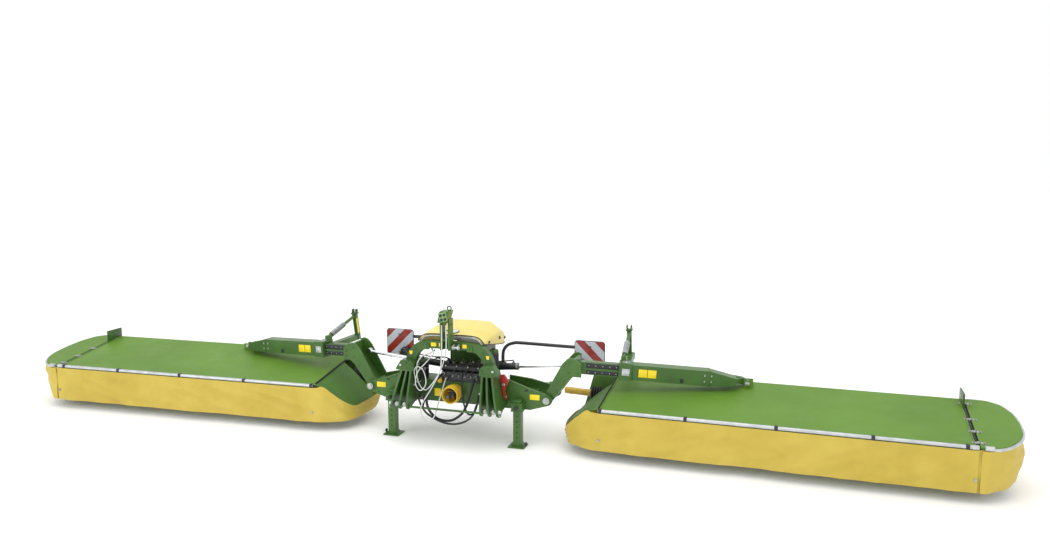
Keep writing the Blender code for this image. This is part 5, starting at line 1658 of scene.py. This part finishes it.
        # black discs on the stand's face: painted shade for the dark insides of the holes
        holes = Shape()
        for at in range(5):
            z = 0.100 + at * self.hole_pitch
            holes.rod((x, -0.1061, z), (x, -0.1066, z), 0.009, ease=0.0001)
        grip = Shape().turned((x + 0.072, -0.066, 0.030), (x + 5, -0.066, 0.030),
                              [(0, 0.010), (0.004, 0.018), (0.018, 0.018), (0.022, 0.010)], 18)
        grip.make(f"stand_grip_{side.label}", Finishes.NYLON, f"stand_{side.label}", side)
        holes.make(f"stand_holes_{side.label}", Finishes.RUBBER, f"stand_{side.label}", side)
        foot = Shape().block((x - 0.088, x + 0.083), (-0.149, 0.017), (0.0, 0.007), 0.002)
        foot.block((x - 0.044, x + 0.044), (-0.110, -0.022), (0.014, 0.019), 0.002)
        foot.make(f"stand_foot_{side.label}", Finishes.BODY, f"stand_{side.label}", side)


# --- warning boards ----------------------------------------------------------------------------
@dataclass
class WarningBoard:
    """Striped board in its black edging, with the lamp in front of it."""

    side: Side
    corner: float = 0.030
    lamp: Pair = (1.060, 0.598)                 # x and z

    def build(self) -> None:
        """Make the board, its edging, its clips and the lamp."""
        side, finish = self.side.label, getattr(Finishes, f"BOARD_{self.side.name}")
        low, high = self.corner, BOARD_EDGE - self.corner
        left, foot = BOARD_INNER, BOARD_TOP - BOARD_EDGE
        outline = []
        for dx, dz, start in ((high, high, 0), (low, high, 90), (low, low, 180), (high, low, 270)):
            outline += arc((left + dx, foot + dz), self.corner, start, start + 90, 6)
        panel = Shape().plate(outline, "y", 1.1010, 1.1170, 0.002)
        panel.make(f"board_{side}", finish, "frame", self.side, [f"warning_board_{side}"])
        rim = Shape().tube([(x, 1.1090, z) for x, z in outline], 0.0062, 10, closed=True)
        for z in (foot + 0.060, foot + BOARD_EDGE - 0.060):
            rim.block((left + BOARD_EDGE / 2 - 0.020, left + BOARD_EDGE / 2 + 0.020),
                      (1.0985, 1.1015), (z - 0.006, z + 0.006), 0.001)
        rim.make(f"board_edge_{side}", Finishes.NYLON, "frame", self.side)
        x, z = self.lamp
        lamp = Shape().turned((x, 1.1015, z), (x, -5.0, z),
                              [(0, 0.050), (0.010, 0.060), (0.045, 0.062), (0.056, 0.057),
                               (0.058, 0.050)], 36)
        lamp.make(f"lamp_body_{side}", Finishes.RUBBER, "frame", self.side)
        lens = Shape().turned((x, 1.0440, z), (x, -5.0, z),
                              [(0, 0.049), (0.004, 0.047), (0.008, 0.034), (0.010, 0.0)], 36)
        lens.make(f"lamp_lens_{side}", Finishes.GLASS, "frame", self.side)


# --- putting it together ----------------------------------------------------------------------
NODE_FINISHES = {
    "main_beam": Finishes.FRAME, "headstock": Finishes.FRAME, "hose_mast": Finishes.BODY,
    "centre_housing": Finishes.FRAME, "hydraulic_block": Finishes.BLACK, "hood": Finishes.HOOD,
    "pto_guard": Finishes.GUARD, "pto_shaft": Finishes.BLADE, "board_carrier": Finishes.BLACK,
    "lock_bracket": Finishes.RED, "side_arm": Finishes.BODY, "stand": Finishes.BODY,
    "boom_link": Finishes.BODY, "outer_boom": Finishes.BODY, "lift_cylinder": Finishes.BLACK,
    "lift_rod": Finishes.CHROME, "drive_shaft": Finishes.SHAFT, "top_cover": Finishes.COVER,
    "inner_guard": Finishes.COVER, "skirt": Finishes.CURTAIN, "end_guard": Finishes.COVER,
    "end_curtain": Finishes.CURTAIN, "cutterbar": Finishes.BLADE, "disc": Finishes.BLADE,
    "warning_board_right": Finishes.BOARD_RIGHT, "warning_board_left": Finishes.BOARD_LEFT,
    "hose": Finishes.RUBBER, "cable": Finishes.CABLE,
}


def paint_nodes() -> None:
    """Give every CAD node its finish."""
    for name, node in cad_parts.items():
        start = max((key for key in NODE_FINISHES if name.startswith(key)), key=len)
        node.data.materials.clear()
        node.data.materials.append(NODE_FINISHES[start].material())


def main() -> None:
    """Set the stage, then build the machine from the cords outwards."""
    logging.basicConfig(level=logging.INFO, format="%(message)s")
    Studio().build()
    for cord in CORDS:
        cord.build()
    paint_nodes()
    Hood().build()
    CentreTrim().build()
    for side in Side:
        for unit in (Curtain, InnerGuard, MowerTrim, BoomTrim, WarningBoard):
            unit(side).build()


if __name__ == "__main__":
    main()
